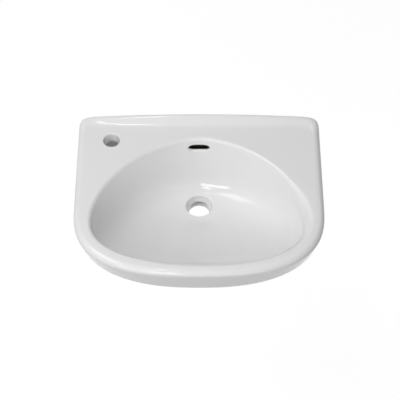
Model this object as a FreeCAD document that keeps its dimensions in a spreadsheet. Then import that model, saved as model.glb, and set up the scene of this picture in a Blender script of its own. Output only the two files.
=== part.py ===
"""Wall hung basin: a one-piece glazed ceramic casting with its left and right wall fixings.

Frame: origin on the wall face, midway between the two fixing holes. +X is the user's right,
+Y points into the wall, so the basin reaches out along -Y, and +Z is up. Millimetres.
"""
import FreeCAD
import Part
import math
import os
import Sketcher

SIZES = [
    # the casting's outline, seen from above
    ("basin_width", 520, "across the two sides"),
    ("basin_depth", 413, "from the wall to the front of the rim"),
    ("widest_line", 238, "from the wall to where the sides start to curve in"),
    ("front_squareness", 2.72, "exponent of the rim's front curve, 2 is an ellipse"),
    ("skirt_squareness", 2.4, "the same for the skirt's lower edge"),
    ("corner_squareness", 25, "exponent of the two corners at the wall"),
    # heights and walls of the casting
    ("deck_rise", 70, "fixing holes up to the deck"),
    ("deck_thick", 13, "the deck's own thickness"),
    ("skirt_front", 60, "deck down to the skirt's lower edge at the front"),
    ("skirt_wall", 112, "deck down to the skirt's lower edge at the wall"),
    ("skirt_turn", 310, "from the wall to where the lower edge starts to drop"),
    ("skirt_draft", 5, "how far the skirt leans in on its way down"),
    ("skirt_thick", 12, "the skirt's wall, also its rounded lower edge"),
    ("back_thick", 14, "the wall that bears on the building's wall"),
    ("front_thick", 28, "the rim's solid front, under the deck"),
    ("inner_round", 8, "fillet between skirt and deck, underneath"),
    ("rim_roll", 14, "width of the rolled outer edge"),
    ("rim_drop", 13, "height of the rolled outer edge"),
    ("back_roll", 6, "radius of the upstand's edge at the wall"),
    ("face_proud", 0.4, "how far the ground bearing face stands behind the glazed back"),
    ("face_margin", 14, "the glaze left free above and below that face"),
    ("face_inset", 30, "the same at the two corners"),
    ("lip_middle", 15.5, "upstand above the deck at the middle"),
    ("lip_end", 5, "upstand above the deck at its ends"),
    ("lip_reach", 30, "from the wall to the foot of the upstand's slope"),
    ("lip_return", 45, "from the wall to where the upstand has died out along the sides"),
    # the bowl
    ("bowl_width", 446, "across the bowl's edge"),
    ("bowl_rear", 61, "from the wall to the bowl's edge"),
    ("bowl_front", 384, "from the wall to the bowl's front edge"),
    ("bowl_widest", 273, "from the wall to the bowl's widest line"),
    ("bowl_depth", 125, "deck down to the seat of the waste"),
    ("bowl_rear_squareness", 1.75, "exponent of the bowl's rear curve"),
    ("bowl_front_squareness", 2.3, "exponent of the bowl's front curve"),
    ("bowl_side_fullness", 2.2, "exponent of the bowl's profile to the sides"),
    ("bowl_end_fullness", 1.6, "exponent of the bowl's profile to the front and rear"),
    ("bowl_roll", 8, "radius of the bowl's rolled edge"),
    ("bowl_shell", 11, "the bowl's own thickness"),
    # the waste hole
    ("waste_from_wall", 145, "to the middle of the waste hole"),
    ("waste_hole", 46, "diameter"),
    ("waste_mouth", 60, "diameter where the bowl's floor turns down into the hole"),
    ("waste_roll", 2.5, "radius of that turn"),
    ("waste_cone", 11, "bowl's floor down to where the mouth has narrowed to the hole"),
    ("waste_wall", 31, "thickness of the boss around the hole"),
    ("waste_boss", 84, "diameter of that boss"),
    ("boss_sink", 1, "how far the boss's top stays below the bowl's floor"),
    # the tap hole
    ("tap_from_middle", 187.5, "to the middle of the tap hole, on the left"),
    ("tap_from_wall", 63.5, "to the middle of the tap hole"),
    ("tap_hole", 35, "diameter"),
    ("tap_mouth", 40, "diameter where the deck turns down into the hole"),
    ("tap_round", 2.5, "radius of that turn"),
    ("tap_wall", 26, "thickness of the boss around the hole"),
    ("tap_boss", 64, "diameter of that boss"),
    # the overflow
    ("slot_width", 46, "the slot in the bowl's rear wall"),
    ("slot_height", 19, ""),
    ("slot_drop", 16, "deck down to the slot's top"),
    ("slot_round", 7, "radius of the slot's corners"),
    ("duct_width", 40, "the duct from the slot down to the waste hole"),
    ("duct_gap", 10, "its other way"),
    ("duct_wall", 8, "the ceramic around it"),
    ("duct_knee", 0.6, "share of the bowl's depth where the duct starts to lean forward"),
    ("knee_forward", 8, "how far forward it has come at that knee"),
    ("heel_forward", 40, "the same at the level of the bowl's floor"),
    ("foot_forward", 52, "the same at its foot"),
    ("slot_lead", 14, "how far inside the bowl the slot's tool starts"),
    ("window_height", 10, "where the duct opens into the waste hole"),
    ("window_width", 30, ""),
    ("window_rise", 6, "boss's lower face up to that opening"),
    # the wall fixings
    ("fixing_spacing", 280, "between the two fixing holes"),
    ("fixing_hole", 15, "diameter of each hole in the casting"),
    ("seat_proud", 1, "how far the flat seat around each hole stands out, inside"),
    ("seat_ring", 34, "diameter of that seat"),
    ("fit_gap", 0.2, "radial clearance of a loose fit"),
    ("bolt_size", 10, "thread diameter of the hanger bolt"),
    ("bolt_in_wall", 42, "length of its wood thread"),
    ("bolt_tail", 4, "how far it stands out of its nut"),
    ("bolt_point", 7, "length of the point of its wood thread"),
    ("point_blunt", 0.5, "radius left at that point"),
    ("bolt_chamfer", 1, "at its metric end"),
    ("edge_break", 0.5, "small chamfer on the bush and the washer"),
    ("bolt_pitch", 1.5, "of its metric thread"),
    ("screw_pitch", 4, "of its wood thread"),
    ("thread_cut", 0.8, "depth of the metric thread"),
    ("screw_cut", 1.3, "depth of the wood thread"),
    ("thread_crest", 0.02, "share of the pitch left uncut at each side of a groove"),
    ("plug_size", 14, "diameter of the wall plug, at its nose"),
    ("plug_body", 13.6, "diameter of its slit length"),
    ("plug_length", 58, ""),
    ("plug_collar", 17.5, "uncut length at its mouth"),
    ("plug_slit", 1.6, "width of the slits that let it spread"),
    ("plug_nose", 14, "solid length at its closed end"),
    ("plug_ridge", 8, "length of the full diameter on that end"),
    ("plug_tip", 5, "length of the taper beyond it"),
    ("plug_taper", 1, "how much that taper takes off the radius"),
    ("bush_flange", 28, "diameter of the flanged bush"),
    ("bush_flange_thick", 3, ""),
    ("bush_short", 0.5, "how far its sleeve stays behind the wall face"),
    ("washer_size", 24, "outer diameter"),
    ("washer_thick", 2, ""),
    ("nut_flats", 17, "across the nut's flats"),
    ("nut_height", 8, ""),
    ("nut_chamfer", 30, "angle of the chamfer on its corners, in degrees"),
    ("cap_wall", 1.6, ""),
    ("cap_headroom", 2, "free space between bolt end and cap"),
    ("cap_round", 3.5, "radius of the cap's edge"),
    # cutting tools
    ("cut_over", 1, "how far a cutting tool runs past the surface it opens"),
    ("groove_over", 0.2, "the same for the thread's grooves"),
]

doc = FreeCAD.newDocument("wall_hung_basin")
sheet = doc.addObject("Spreadsheet::Sheet", "sizes")
for row, (alias, number, note) in enumerate(SIZES, start=1):
    sheet.set(f"A{row}", alias)
    sheet.set(f"B{row}", str(number))
    sheet.set(f"C{row}", note)
    sheet.setAlias(f"B{row}", alias)
doc.recompute()


def size(alias):
    """A driving dimension's value, read from the sheet."""
    return float(sheet.get(alias))


def bind(target, prop, formula):
    """Tie a property to cells of the sheet; aliases are written as #alias."""
    target.setExpression(prop, formula.replace("#", "sizes."))


# ---------------------------------------------------------------------------
# Curves of the casting. Heights in this block are measured from the deck.
# ---------------------------------------------------------------------------
TRAY_STATIONS = 84
STATION_LENGTH = 30
STATION_TURNS = 5
BOWL_STATIONS = 44
ARC_STEP = 18
CORNER_SHARE = 0.86
SLOPE_SPREAD = 0.5
STEEPEST_ROLL = 70
OVER_ROLL = 0.7


def oval_radius(angle, across, along, squareness):
    """Distance from the middle to a superellipse, in the direction of an angle in radians."""
    term = abs(math.cos(angle) / across) ** squareness + abs(math.sin(angle) / along) ** squareness
    return term ** (-1 / squareness)


def closed_curve(name, points, shares, joints=(0,)):
    """A smooth closed curve through the points, kept as an object of the document. It is one
    edge from each joint to the next, a joint being the number of a point."""
    curve = Part.BSplineCurve()
    curve.interpolate(Points=points, PeriodicFlag=True, Parameters=shares)
    ends = list(joints) + [len(points)]
    ring = doc.addObject("Part::Feature", name)
    ring.Shape = Part.Wire([curve.toShape(shares[a], shares[b]) for a, b in zip(ends, ends[1:])])
    return ring


def skin(name, rings, ruled=False):
    """A solid whose skin runs smoothly through the rings, closed by flat faces at both ends."""
    loft = doc.addObject("Part::Loft", name)
    loft.Sections = rings
    loft.Solid = True
    loft.Ruled = ruled
    return loft


def tray_outline(angle, side_in, back_in, front_in, squareness):
    """A point of the casting's D-shaped outline, moved in by the given amounts."""
    across = size("basin_width") / 2 - side_in
    if math.sin(angle) > 0:
        along = size("widest_line") - size("face_proud") - back_in
        corner = size("corner_squareness")
        radius = oval_radius(angle, across, along, corner)
    else:
        along = size("basin_depth") - size("widest_line") - front_in
        radius = oval_radius(angle, across, along, squareness)
    return radius * math.cos(angle), radius * math.sin(angle) - size("widest_line")


def tray_angles():
    """Directions that crowd together where the outline bends most."""
    steps = 2880
    angles = [math.tau * (i + 0.5) / steps for i in range(steps)]
    outline = [tray_outline(a, 0, 0, 0, size("front_squareness")) for a in angles]
    heaviness = []
    for i in range(steps):
        before, here, after = outline[i - 1], outline[i], outline[(i + 1) % steps]
        heading_in = math.atan2(here[1] - before[1], here[0] - before[0])
        heading_out = math.atan2(after[1] - here[1], after[0] - here[0])
        turn = abs(math.remainder(heading_out - heading_in, math.tau))
        length = math.dist(here, after)
        heaviness.append(length / STATION_LENGTH + turn * STATION_TURNS)
    total = sum(heaviness)
    chosen = []
    run = 0.0
    for angle, heavy in zip(angles, heaviness):
        if run >= total * len(chosen) / TRAY_STATIONS:
            chosen.append(angle)
        run += heavy
    return chosen[:TRAY_STATIONS]


def corner_joints(angles):
    """The numbers of the directions where the two corners at the wall begin and end."""
    across = size("basin_width") / 2
    along = size("widest_line")
    marks = [math.atan2(along * CORNER_SHARE, across), math.atan2(along, across * CORNER_SHARE)]
    marks += [math.pi - mark for mark in reversed(marks)]
    return [min(range(len(angles)), key=lambda i, m=mark: abs(angles[i] - m)) for mark in marks]


def fade(distance, start, end):
    """1 up to start, 0 from end on, and a smooth step between."""
    share = min(max((distance - start) / (end - start), 0), 1)
    return 1 - share * share * (3 - 2 * share)


def lip_height(x):
    """The upstand's height over the deck, highest at the middle."""
    out = x / (size("basin_width") / 2)
    return size("lip_middle") - (size("lip_middle") - size("lip_end")) * out * out


def skirt_edge(y):
    """How far below the deck the skirt's lower edge lies at a distance from the wall."""
    drop = size("skirt_wall") - size("skirt_front")
    return size("skirt_front") + drop * fade(-y, 0, size("skirt_turn"))


def make_tray():
    """Deck, rolled rim, upstand and skirt as one skin: from the deck's middle outwards over
    the rim, down the outside of the skirt, round its lower edge and up again inside."""
    angles = tray_angles()
    front = min(range(len(angles)), key=lambda i: abs(angles[i] - math.pi * 1.5))
    angles = angles[front:] + angles[:front]
    joints = [0] + corner_joints(angles)
    outline = [tray_outline(a, 0, 0, 0, size("front_squareness")) for a in angles]
    steps = [math.dist(outline[i], outline[(i + 1) % len(outline)]) for i in range(len(outline))]
    length = sum(steps)
    shares = [sum(steps[:i]) / length for i in range(len(steps) + 1)]
    rim_front = size("front_squareness")
    skirt_front = size("skirt_squareness")
    rings = []

    def ring(side_in, back_in, front_in, squareness, height):
        points = []
        for angle in angles:
            x, y = tray_outline(angle, side_in, back_in, front_in, squareness)
            points.append(FreeCAD.Vector(x, y, size("deck_rise") + height(x, y)))
        rings.append(closed_curve(f"tray_ring_{len(rings):02d}", points, shares, joints))

    # the deck and the upstand's slope, from the inside out
    slope = size("lip_reach") - size("back_roll")
    for share in (1.2, 0.95, 0.7, 0.45, 0.2):
        rise = 0.5 * (1 + math.cos(math.pi * min(share, 1)))

        def deck_height(x, y, rise=rise):
            return lip_height(x) * rise * fade(-y, 0, size("lip_return"))

        inwards = size("rim_roll") * (1 + SLOPE_SPREAD * share)
        ring(inwards, size("back_roll") + slope * share, inwards, rim_front, deck_height)
    # the rolled edge
    for degrees in range(90, -1, -ARC_STEP):
        turn = math.radians(degrees)

        def roll_height(x, y, turn=turn):
            at_wall = fade(-y, 0, size("lip_return"))
            over_lip = lip_height(x) - size("back_roll") * (1 - math.sin(turn))
            over_rim = -size("rim_drop") * (1 - math.sin(turn))
            return at_wall * over_lip + (1 - at_wall) * over_rim

        inwards = size("rim_roll") * (1 - math.cos(turn))
        ring(inwards, size("back_roll") * (1 - math.cos(turn)), inwards, rim_front, roll_height)
    # down the outside of the skirt
    half_wall = size("skirt_thick") / 2
    for share in (0.25, 0.6, 1.0):
        def skirt_height(x, y, share=share):
            return -size("rim_drop") - share * (skirt_edge(y) - size("rim_drop") - half_wall)

        inwards = size("skirt_draft") * share
        squareness = rim_front + (skirt_front - rim_front) * share
        ring(inwards, 0, inwards, squareness, skirt_height)
    # round the lower edge
    for degrees in (30, 60, 90, 120, 150, 180):
        turn = math.radians(degrees)

        def edge_height(x, y, turn=turn):
            return half_wall * (1 - math.sin(turn)) - skirt_edge(y)

        across = 0.5 * (1 - math.cos(turn))
        inwards = size("skirt_draft") + size("skirt_thick") * across
        ring(inwards, size("back_thick") * across, inwards, skirt_front, edge_height)
    # up the inside, into the fillet under the deck
    for share in (0.5, 1.0):
        def inner_height(x, y, share=share):
            top = size("deck_thick") + size("inner_round")
            return -(skirt_edge(y) - half_wall) * (1 - share) - top * share

        inwards = size("skirt_thick") + size("skirt_draft") * (1 - share)
        front_in = inwards + (size("front_thick") - size("skirt_thick")) * share
        squareness = skirt_front + (rim_front - skirt_front) * share
        ring(inwards, size("back_thick"), front_in, squareness, inner_height)
    for degrees in (30, 60, 90):
        turn = math.radians(degrees)
        inwards = size("inner_round") * (1 - math.cos(turn))
        below = size("deck_thick") + size("inner_round") * (1 - math.sin(turn))

        def fillet_height(x, y, below=below):
            return -below

        ring(size("skirt_thick") + inwards, size("back_thick") + inwards,
             size("front_thick") + inwards, rim_front, fillet_height)
    return skin("tray", rings, ruled=True)


def bowl_ring(name, out, share, below):
    """One level of the bowl. share runs from 0 at its edge to 1 at the waste, and out moves
    the outline outwards."""
    to_side = (1 - share ** size("bowl_side_fullness")) ** (1 / size("bowl_side_fullness"))
    to_end = (1 - share ** size("bowl_end_fullness")) ** (1 / size("bowl_end_fullness"))
    mouth = size("waste_mouth") / 2
    across = mouth + (size("bowl_width") / 2 - mouth) * to_side + out
    middle = size("waste_from_wall") + (size("bowl_widest") - size("waste_from_wall")) * to_end
    rear = size("waste_from_wall") - mouth
    rear += (size("bowl_rear") - rear) * to_end
    front = size("waste_from_wall") + mouth
    front += (size("bowl_front") - front) * to_end
    points = []
    for i in range(BOWL_STATIONS):
        share_round = math.tau * i / BOWL_STATIONS
        if math.sin(share_round) > 0:
            along = middle - rear + out
            squareness = 2 + (size("bowl_rear_squareness") - 2) * to_end
        else:
            along = front - middle + out
            squareness = 2 + (size("bowl_front_squareness") - 2) * to_end
        angle = math.atan2(along * math.sin(share_round), across * math.cos(share_round))
        radius = oval_radius(angle, across, along, squareness)
        points.append(FreeCAD.Vector(radius * math.cos(angle), radius * math.sin(angle) - middle,
                                     size("deck_rise") - below))
    shares = [i / BOWL_STATIONS for i in range(BOWL_STATIONS + 1)]
    return closed_curve(name, points, shares)


BOWL_LEVELS = (0, 0.08, 0.2, 0.35, 0.5, 0.65, 0.78, 0.88, 0.95, 0.985, 1)


def make_bowl_hollow():
    """The air in the bowl: from just above the deck over the rolled edge down to the waste."""
    roll = size("bowl_roll")
    rings = []
    steepest = math.radians(STEEPEST_ROLL)
    out = roll * (1 - math.cos(steepest)) + roll * OVER_ROLL * math.sin(steepest)
    above = roll * (math.sin(steepest) - 1) + roll * OVER_ROLL * math.cos(steepest)
    rings.append(bowl_ring("bowl_ring_top", out, 0, -above))
    for degrees in (STEEPEST_ROLL, 45, 20):
        turn = math.radians(degrees)
        rings.append(bowl_ring(f"bowl_ring_roll_{degrees}", roll * (1 - math.cos(turn)), 0,
                               roll * (1 - math.sin(turn))))
    for share in BOWL_LEVELS:
        below = roll + (size("bowl_depth") - roll) * share
        rings.append(bowl_ring(f"bowl_ring_{int(share * 1000):04d}", 0, share, below))
    return skin("bowl_hollow", rings)


def make_bowl_shell():
    """The bowl's outer skin, one shell thickness outside the hollow."""
    rings = []
    for share in BOWL_LEVELS:
        top = size("deck_thick") / 2
        below = top + (size("bowl_depth") + size("bowl_shell") - top) * share
        rings.append(bowl_ring(f"shell_ring_{int(share * 1000):04d}", size("bowl_shell"), share,
                               below))
    return skin("bowl_shell_block", rings)


# ---------------------------------------------------------------------------
# Sketch helpers for what is drawn, turned and extruded
# ---------------------------------------------------------------------------
def plane_of(body, role):
    """An origin plane of a body, found by its role."""
    return next(f for f in body.Origin.OriginFeatures if f.Role == role)


def new_body(label):
    body = doc.addObject("PartDesign::Body", label)
    body.Label = label
    return body


def sketch_on(body, name, role):
    sketch = body.newObject("Sketcher::SketchObject", name)
    sketch.AttachmentSupport = [(plane_of(body, role), "")]
    sketch.MapMode = "FlatFace"
    return sketch


def polygon(sketch, corners):
    """A closed outline of straight lines. Each corner is a pair of formulas, for the sketch's
    own across and up, which become its driving dimensions."""
    values = [(evaluate(a), evaluate(u)) for a, u in corners]
    count = len(values)
    for i in range(count):
        here, there = values[i], values[(i + 1) % count]
        sketch.addGeometry(Part.LineSegment(FreeCAD.Vector(*here, 0), FreeCAD.Vector(*there, 0)))
    for i in range(count):
        sketch.addConstraint(Sketcher.Constraint("Coincident", i, 2, (i + 1) % count, 1))
    for i, (across, up) in enumerate(corners):
        for kind, formula, value in (("DistanceX", across, values[i][0]),
                                     ("DistanceY", up, values[i][1])):
            index = sketch.addConstraint(Sketcher.Constraint(kind, -1, 1, i, 1, value))
            bind(sketch, f"Constraints[{index}]", formula)


def evaluate(formula):
    """The value of a formula over #alias cells."""
    cell = doc.getObject("scratch_value")
    if cell is None:
        cell = doc.addObject("App::FeaturePython", "scratch_value")
        cell.addProperty("App::PropertyFloat", "Value")
    cell.setExpression("Value", formula.replace("#", "sizes."))
    cell.recompute()
    return cell.Value


def turned(body, name, corners):
    """A solid of revolution about the body's own Z axis from a half section."""
    sketch = sketch_on(body, name + "_section", "XZ_Plane")
    polygon(sketch, corners)
    turn = body.newObject("PartDesign::Revolution", name)
    turn.Profile = sketch
    turn.ReferenceAxis = (sketch, ["V_Axis"])
    turn.Angle = 360
    doc.recompute()
    return turn


# distances along the fixings' common axis, from the wall face
SEAT = "(-(#back_thick + #face_proud + #seat_proud))"
FLANGE_FRONT = f"({SEAT} - #bush_flange_thick)"
WASHER_FRONT = f"({FLANGE_FRONT} - #washer_thick)"
NUT_FRONT = f"({WASHER_FRONT} - #nut_height)"
BOLT_FRONT = f"({NUT_FRONT} - #bolt_tail)"
CAP_FRONT = f"({BOLT_FRONT} - #cap_headroom - #cap_wall)"
BOLT_RADIUS = "#bolt_size / 2"
BUSH_BORE = "(#bolt_size / 2 + #fit_gap)"


# ---------------------------------------------------------------------------
# The casting
# ---------------------------------------------------------------------------
def cylinder(name, diameter, height, x, y, z):
    """An upright cylinder; every argument after the name is a formula."""
    shape = doc.addObject("Part::Cylinder", name)
    bind(shape, "Radius", f"({diameter}) / 2")
    bind(shape, "Height", height)
    bind(shape, "Placement.Base.x", x)
    bind(shape, "Placement.Base.y", y)
    bind(shape, "Placement.Base.z", z)
    return shape


def upright_to_wall(name, diameter, length, x, start):
    """A cylinder square to the wall that runs from start outwards, along -Y."""
    shape = doc.addObject("Part::Cylinder", name)
    shape.Placement.Rotation = FreeCAD.Rotation(FreeCAD.Vector(1, 0, 0), 90)
    bind(shape, "Radius", f"({diameter}) / 2")
    bind(shape, "Height", length)
    bind(shape, "Placement.Base.x", x)
    bind(shape, "Placement.Base.y", start)
    return shape


def slab(name, profile, width):
    """A side view in the YZ plane, extruded evenly to both sides of the middle.
    profile is a list of (y, z) formulas, with z measured from the deck."""
    sketch = doc.addObject("Sketcher::SketchObject", name + "_profile")
    sketch.Placement = FreeCAD.Placement(FreeCAD.Vector(0, 0, 0),
                                         FreeCAD.Rotation(FreeCAD.Vector(1, 1, 1), 120))
    polygon(sketch, [(y, f"#deck_rise + {z}") for y, z in profile])
    block = doc.addObject("Part::Extrusion", name)
    block.Base = sketch
    block.DirMode = "Custom"
    block.Dir = FreeCAD.Vector(1, 0, 0)
    block.Symmetric = True
    block.Solid = True
    bind(block, "LengthFwd", width)
    return block


def mouth_tool(name, hole, mouth, rounding, cone, depth, x, y, top):
    """A hole with a rolled and then narrowing mouth, as a turned tool about an upright axis."""
    radius, widest, roll = size(hole) / 2, size(mouth) / 2, size(rounding)
    narrowing = max(size(cone) - roll, 0)
    lean = math.atan2(widest - radius - roll, narrowing) if narrowing else 0
    lowest = -evaluate(depth) - size("cut_over")

    def on_roll(turn):
        return FreeCAD.Vector(widest - roll * math.cos(turn), 0, roll * (math.sin(turn) - 1))

    above = FreeCAD.Vector(widest, 0, size("cut_over"))
    shoulder, throat = on_roll(math.pi / 2), on_roll(lean)
    path = [throat, FreeCAD.Vector(radius, 0, -size(cone)), FreeCAD.Vector(radius, 0, lowest),
            FreeCAD.Vector(0, 0, lowest), FreeCAD.Vector(0, 0, above.z), above, shoulder]
    edges = [Part.Arc(shoulder, on_roll((math.pi / 2 + lean) / 2), throat).toShape()]
    edges += [Part.LineSegment(a, b).toShape() for a, b in zip(path, path[1:])
              if a.distanceToPoint(b) > roll * 1e-6]
    face = Part.Face(Part.Wire(edges))
    tool = doc.addObject("Part::Feature", name)
    tool.Shape = face.revolve(FreeCAD.Vector(0, 0, 0), FreeCAD.Vector(0, 0, 1), 360)
    tool.Placement = FreeCAD.Placement(FreeCAD.Vector(evaluate(x), evaluate(y), evaluate(top)),
                                       FreeCAD.Rotation())
    return tool


def fuse(name, first, second):
    result = doc.addObject("Part::Fuse", name)
    result.Base = first
    result.Tool = second
    result.Refine = False
    return result


def cut(name, base, tool):
    result = doc.addObject("Part::Cut", name)
    result.Base = base
    result.Tool = tool
    result.Refine = False
    return result


def make_basin_body():
    waste_y = "-#waste_from_wall"
    waste_floor = "(-(#bowl_depth + #waste_wall))"
    waste_boss = cylinder("waste_boss_block", "#waste_boss", "#waste_wall - #boss_sink",
                          "0", waste_y, f"#deck_rise + {waste_floor}")
    tap_boss = cylinder("tap_boss_block", "#tap_boss", "#tap_wall - #deck_thick / 2",
                        "-#tap_from_middle", "-#tap_from_wall", "#deck_rise - #tap_wall")

    # the overflow duct's own line, from the slot back, down behind the bowl and forward again
    back = "-(#bowl_rear - #bowl_shell - #duct_gap)"
    slot_top = "-#slot_drop"
    slot_foot = "-(#slot_drop + #slot_height)"
    knee = "-(#bowl_depth * #duct_knee)"
    heel = "-(#bowl_depth)"
    window_foot = "-(#bowl_depth + #waste_wall - #window_rise)"
    window_top = "-(#bowl_depth + #waste_wall - #window_rise - #window_height)"
    inside_bowl = "-(#bowl_rear + #slot_lead)"
    duct = slab("duct", [
        (back, slot_top),
        (f"{back} - #knee_forward", knee),
        (f"{back} - #heel_forward", heel),
        (f"{back} - #foot_forward", window_foot),
        (waste_y, window_foot),
        (waste_y, window_top),
        (f"{back} - #foot_forward - #duct_gap", window_top),
        (f"{back} - #heel_forward - #duct_gap", f"{heel} + #duct_gap"),
        (f"{back} - #knee_forward - #duct_gap", knee),
        (f"{back} - #duct_gap", slot_foot),
        (f"{back} - #duct_gap", slot_top),
    ], "#window_width")
    upper_duct = slab("upper_duct", [
        (back, slot_top),
        (f"{back} - #knee_forward", knee),
        (f"{back} - #heel_forward", heel),
        (f"{back} - #heel_forward - #duct_gap", f"{heel} + #duct_gap"),
        (f"{back} - #knee_forward - #duct_gap", knee),
        (f"{back} - #duct_gap", slot_foot),
        (f"{back} - #duct_gap", slot_top),
    ], "#duct_width")
    rib = slab("rib", [
        (f"{back} + #duct_wall", "-#deck_thick / 2"),
        (f"{back} + #duct_wall - #knee_forward", knee),
        (f"{back} + #duct_wall - #heel_forward", f"{heel} - #duct_wall"),
        (f"{back} + #duct_wall - #foot_forward", waste_floor),
        (waste_y, waste_floor),
        (waste_y, heel),
        (inside_bowl, "-#deck_thick / 2"),
    ], "#duct_width + 2 * #duct_wall")

    slot_block = doc.addObject("Part::Box", "slot_block")
    bind(slot_block, "Length", "#slot_width")
    bind(slot_block, "Width", "#slot_lead + #bowl_shell + #duct_gap / 2")
    bind(slot_block, "Height", "#slot_height")
    bind(slot_block, "Placement.Base.x", "-#slot_width / 2")
    bind(slot_block, "Placement.Base.y", inside_bowl)
    bind(slot_block, "Placement.Base.z", f"#deck_rise + {slot_foot}")
    doc.recompute()
    slot = doc.addObject("Part::Fillet", "slot")
    slot.Base = slot_block
    along_y = [i + 1 for i, edge in enumerate(slot_block.Shape.Edges)
               if abs(edge.tangentAt(edge.FirstParameter).y) > 0.99]
    slot.Edges = [(i, size("slot_round"), size("slot_round")) for i in along_y]

    face = doc.addObject("Part::Box", "bearing_face_block")
    bind(face, "Length", "#basin_width - 2 * #face_inset")
    bind(face, "Width", "#back_thick / 2")
    bind(face, "Height", "#skirt_wall - 2 * #face_margin + #lip_end")
    bind(face, "Placement.Base.x", "#face_inset - #basin_width / 2")
    bind(face, "Placement.Base.y", "-#back_thick / 2")
    bind(face, "Placement.Base.z", "#deck_rise - #skirt_wall + #face_margin")

    bowl_block = fuse("shell_with_rib", make_bowl_shell(), rib)
    bowl_block = fuse("shell_with_boss", bowl_block, waste_boss)
    blocks = [("with_bowl", bowl_block), ("with_tap_boss", tap_boss),
              ("with_bearing_face", face)]
    drills = [mouth_tool("waste_tool", "waste_hole", "waste_mouth", "waste_roll", "waste_cone",
                         "#waste_wall", "0", waste_y, "#deck_rise - #bowl_depth"),
              mouth_tool("tap_tool", "tap_hole", "tap_mouth", "tap_round", "tap_round",
                         "#tap_wall", "-#tap_from_middle", "-#tap_from_wall", "#deck_rise")]
    for side, sign in (("left", "-"), ("right", "")):
        seat = upright_to_wall(f"seat_{side}", "#seat_ring", f"-({SEAT}) - #back_thick / 2",
                               f"{sign}#fixing_spacing / 2", "-#back_thick / 2")
        blocks.append((f"with_seat_{side}", seat))
        drills.append(upright_to_wall(f"fixing_hole_{side}", "#fixing_hole",
                                      "3 * #back_thick", f"{sign}#fixing_spacing / 2",
                                      "#back_thick"))

    body = make_tray()
    for name, block in blocks:
        body = fuse(name, body, block)
    for name, tool in [("bowl_opened", make_bowl_hollow()), ("duct_opened", duct),
                       ("duct_widened", upper_duct), ("slot_opened", slot)]:
        body = cut(name, body, tool)
    for drill in drills:
        body = cut("drilled_" + drill.Name, body, drill)
    body.Label = "basin_body"
    return body


# ---------------------------------------------------------------------------
# The wall fixings. Each is turned about its own Z axis, which points into the wall.
# ---------------------------------------------------------------------------
def place_fixing(body, side):
    """Stand a fixing's own Z axis along +Y, at the left or right fixing hole."""
    sign = "-" if side == "left" else ""
    body.Placement.Rotation = FreeCAD.Rotation(FreeCAD.Vector(1, 0, 0), -90)
    bind(body, "Placement.Base.x", f"{sign}#fixing_spacing / 2")


def ring_grooves(body, name, radius, depth, pitch, start, run):
    """A row of V grooves round a shank, one thread turn each."""
    sketch = sketch_on(body, name + "_section", "XZ_Plane")
    polygon(sketch, [(f"{radius} - {depth}", f"{start} + {pitch} / 2"),
                     (f"{radius} + #groove_over", f"{start} + {pitch} * #thread_crest"),
                     (f"{radius} + #groove_over", f"{start} + {pitch} * (1 - #thread_crest)")])
    groove = body.newObject("PartDesign::Groove", name)
    groove.Profile = sketch
    groove.ReferenceAxis = (sketch, ["V_Axis"])
    groove.Angle = 360
    doc.recompute()
    pattern = body.newObject("PartDesign::LinearPattern", name + "_row")
    pattern.Originals = [groove]
    pattern.Direction = (sketch, ["V_Axis"])
    turns = max(2, int(evaluate(f"({run}) / {pitch}")))
    pattern.Occurrences = turns
    bind(pattern, "Length", f"{pitch} * {turns - 1}")
    body.Tip = pattern
    doc.recompute()


def make_hanger_bolt(side):
    body = new_body(f"hanger_bolt_{side}")
    tip = "#bolt_in_wall"
    turned(body, "shank", [
        ("0", BOLT_FRONT),
        (f"{BOLT_RADIUS} - #bolt_chamfer", BOLT_FRONT),
        (BOLT_RADIUS, f"{BOLT_FRONT} + #bolt_chamfer"),
        (BOLT_RADIUS, f"{tip} - #bolt_point"),
        ("#point_blunt", tip),
        ("0", tip),
    ])
    ring_grooves(body, "metric_thread", BOLT_RADIUS, "#thread_cut", "#bolt_pitch",
                 f"({BOLT_FRONT} + #bolt_chamfer)", f"-({FLANGE_FRONT}) + #nut_height")
    ring_grooves(body, "wood_thread", BOLT_RADIUS, "#screw_cut", "#screw_pitch",
                 "#screw_pitch", "#bolt_in_wall - #bolt_point - #screw_pitch")
    place_fixing(body, side)
    return body


def make_wall_plug(side):
    body = new_body(f"wall_plug_{side}")
    shoulder = "#plug_length - #plug_tip - #plug_ridge"
    turned(body, "sleeve", [
        (BUSH_BORE, "#fit_gap"),
        ("#plug_body / 2", "#fit_gap"),
        ("#plug_body / 2", shoulder),
        ("#plug_size / 2", shoulder),
        ("#plug_size / 2", "#plug_length - #plug_tip"),
        ("#plug_size / 2 - #plug_taper", "#plug_length"),
        ("0", "#plug_length"),
        ("0", "#plug_length - #plug_nose"),
        (BUSH_BORE, "#plug_length - #plug_nose"),
    ])
    slit_end = "#plug_length - #plug_nose - #plug_slit"
    for name, role in (("slit_across", "XZ_Plane"), ("slit_upright", "YZ_Plane")):
        sketch = sketch_on(body, name + "_outline", role)
        polygon(sketch, [("-#plug_slit / 2", "#plug_collar"), ("#plug_slit / 2", "#plug_collar"),
                         ("#plug_slit / 2", slit_end), ("-#plug_slit / 2", slit_end)])
        slit = body.newObject("PartDesign::Pocket", name)
        slit.Profile = sketch
        slit.Type = "ThroughAll"
        slit.Midplane = True
        doc.recompute()
    place_fixing(body, side)
    return body


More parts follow.
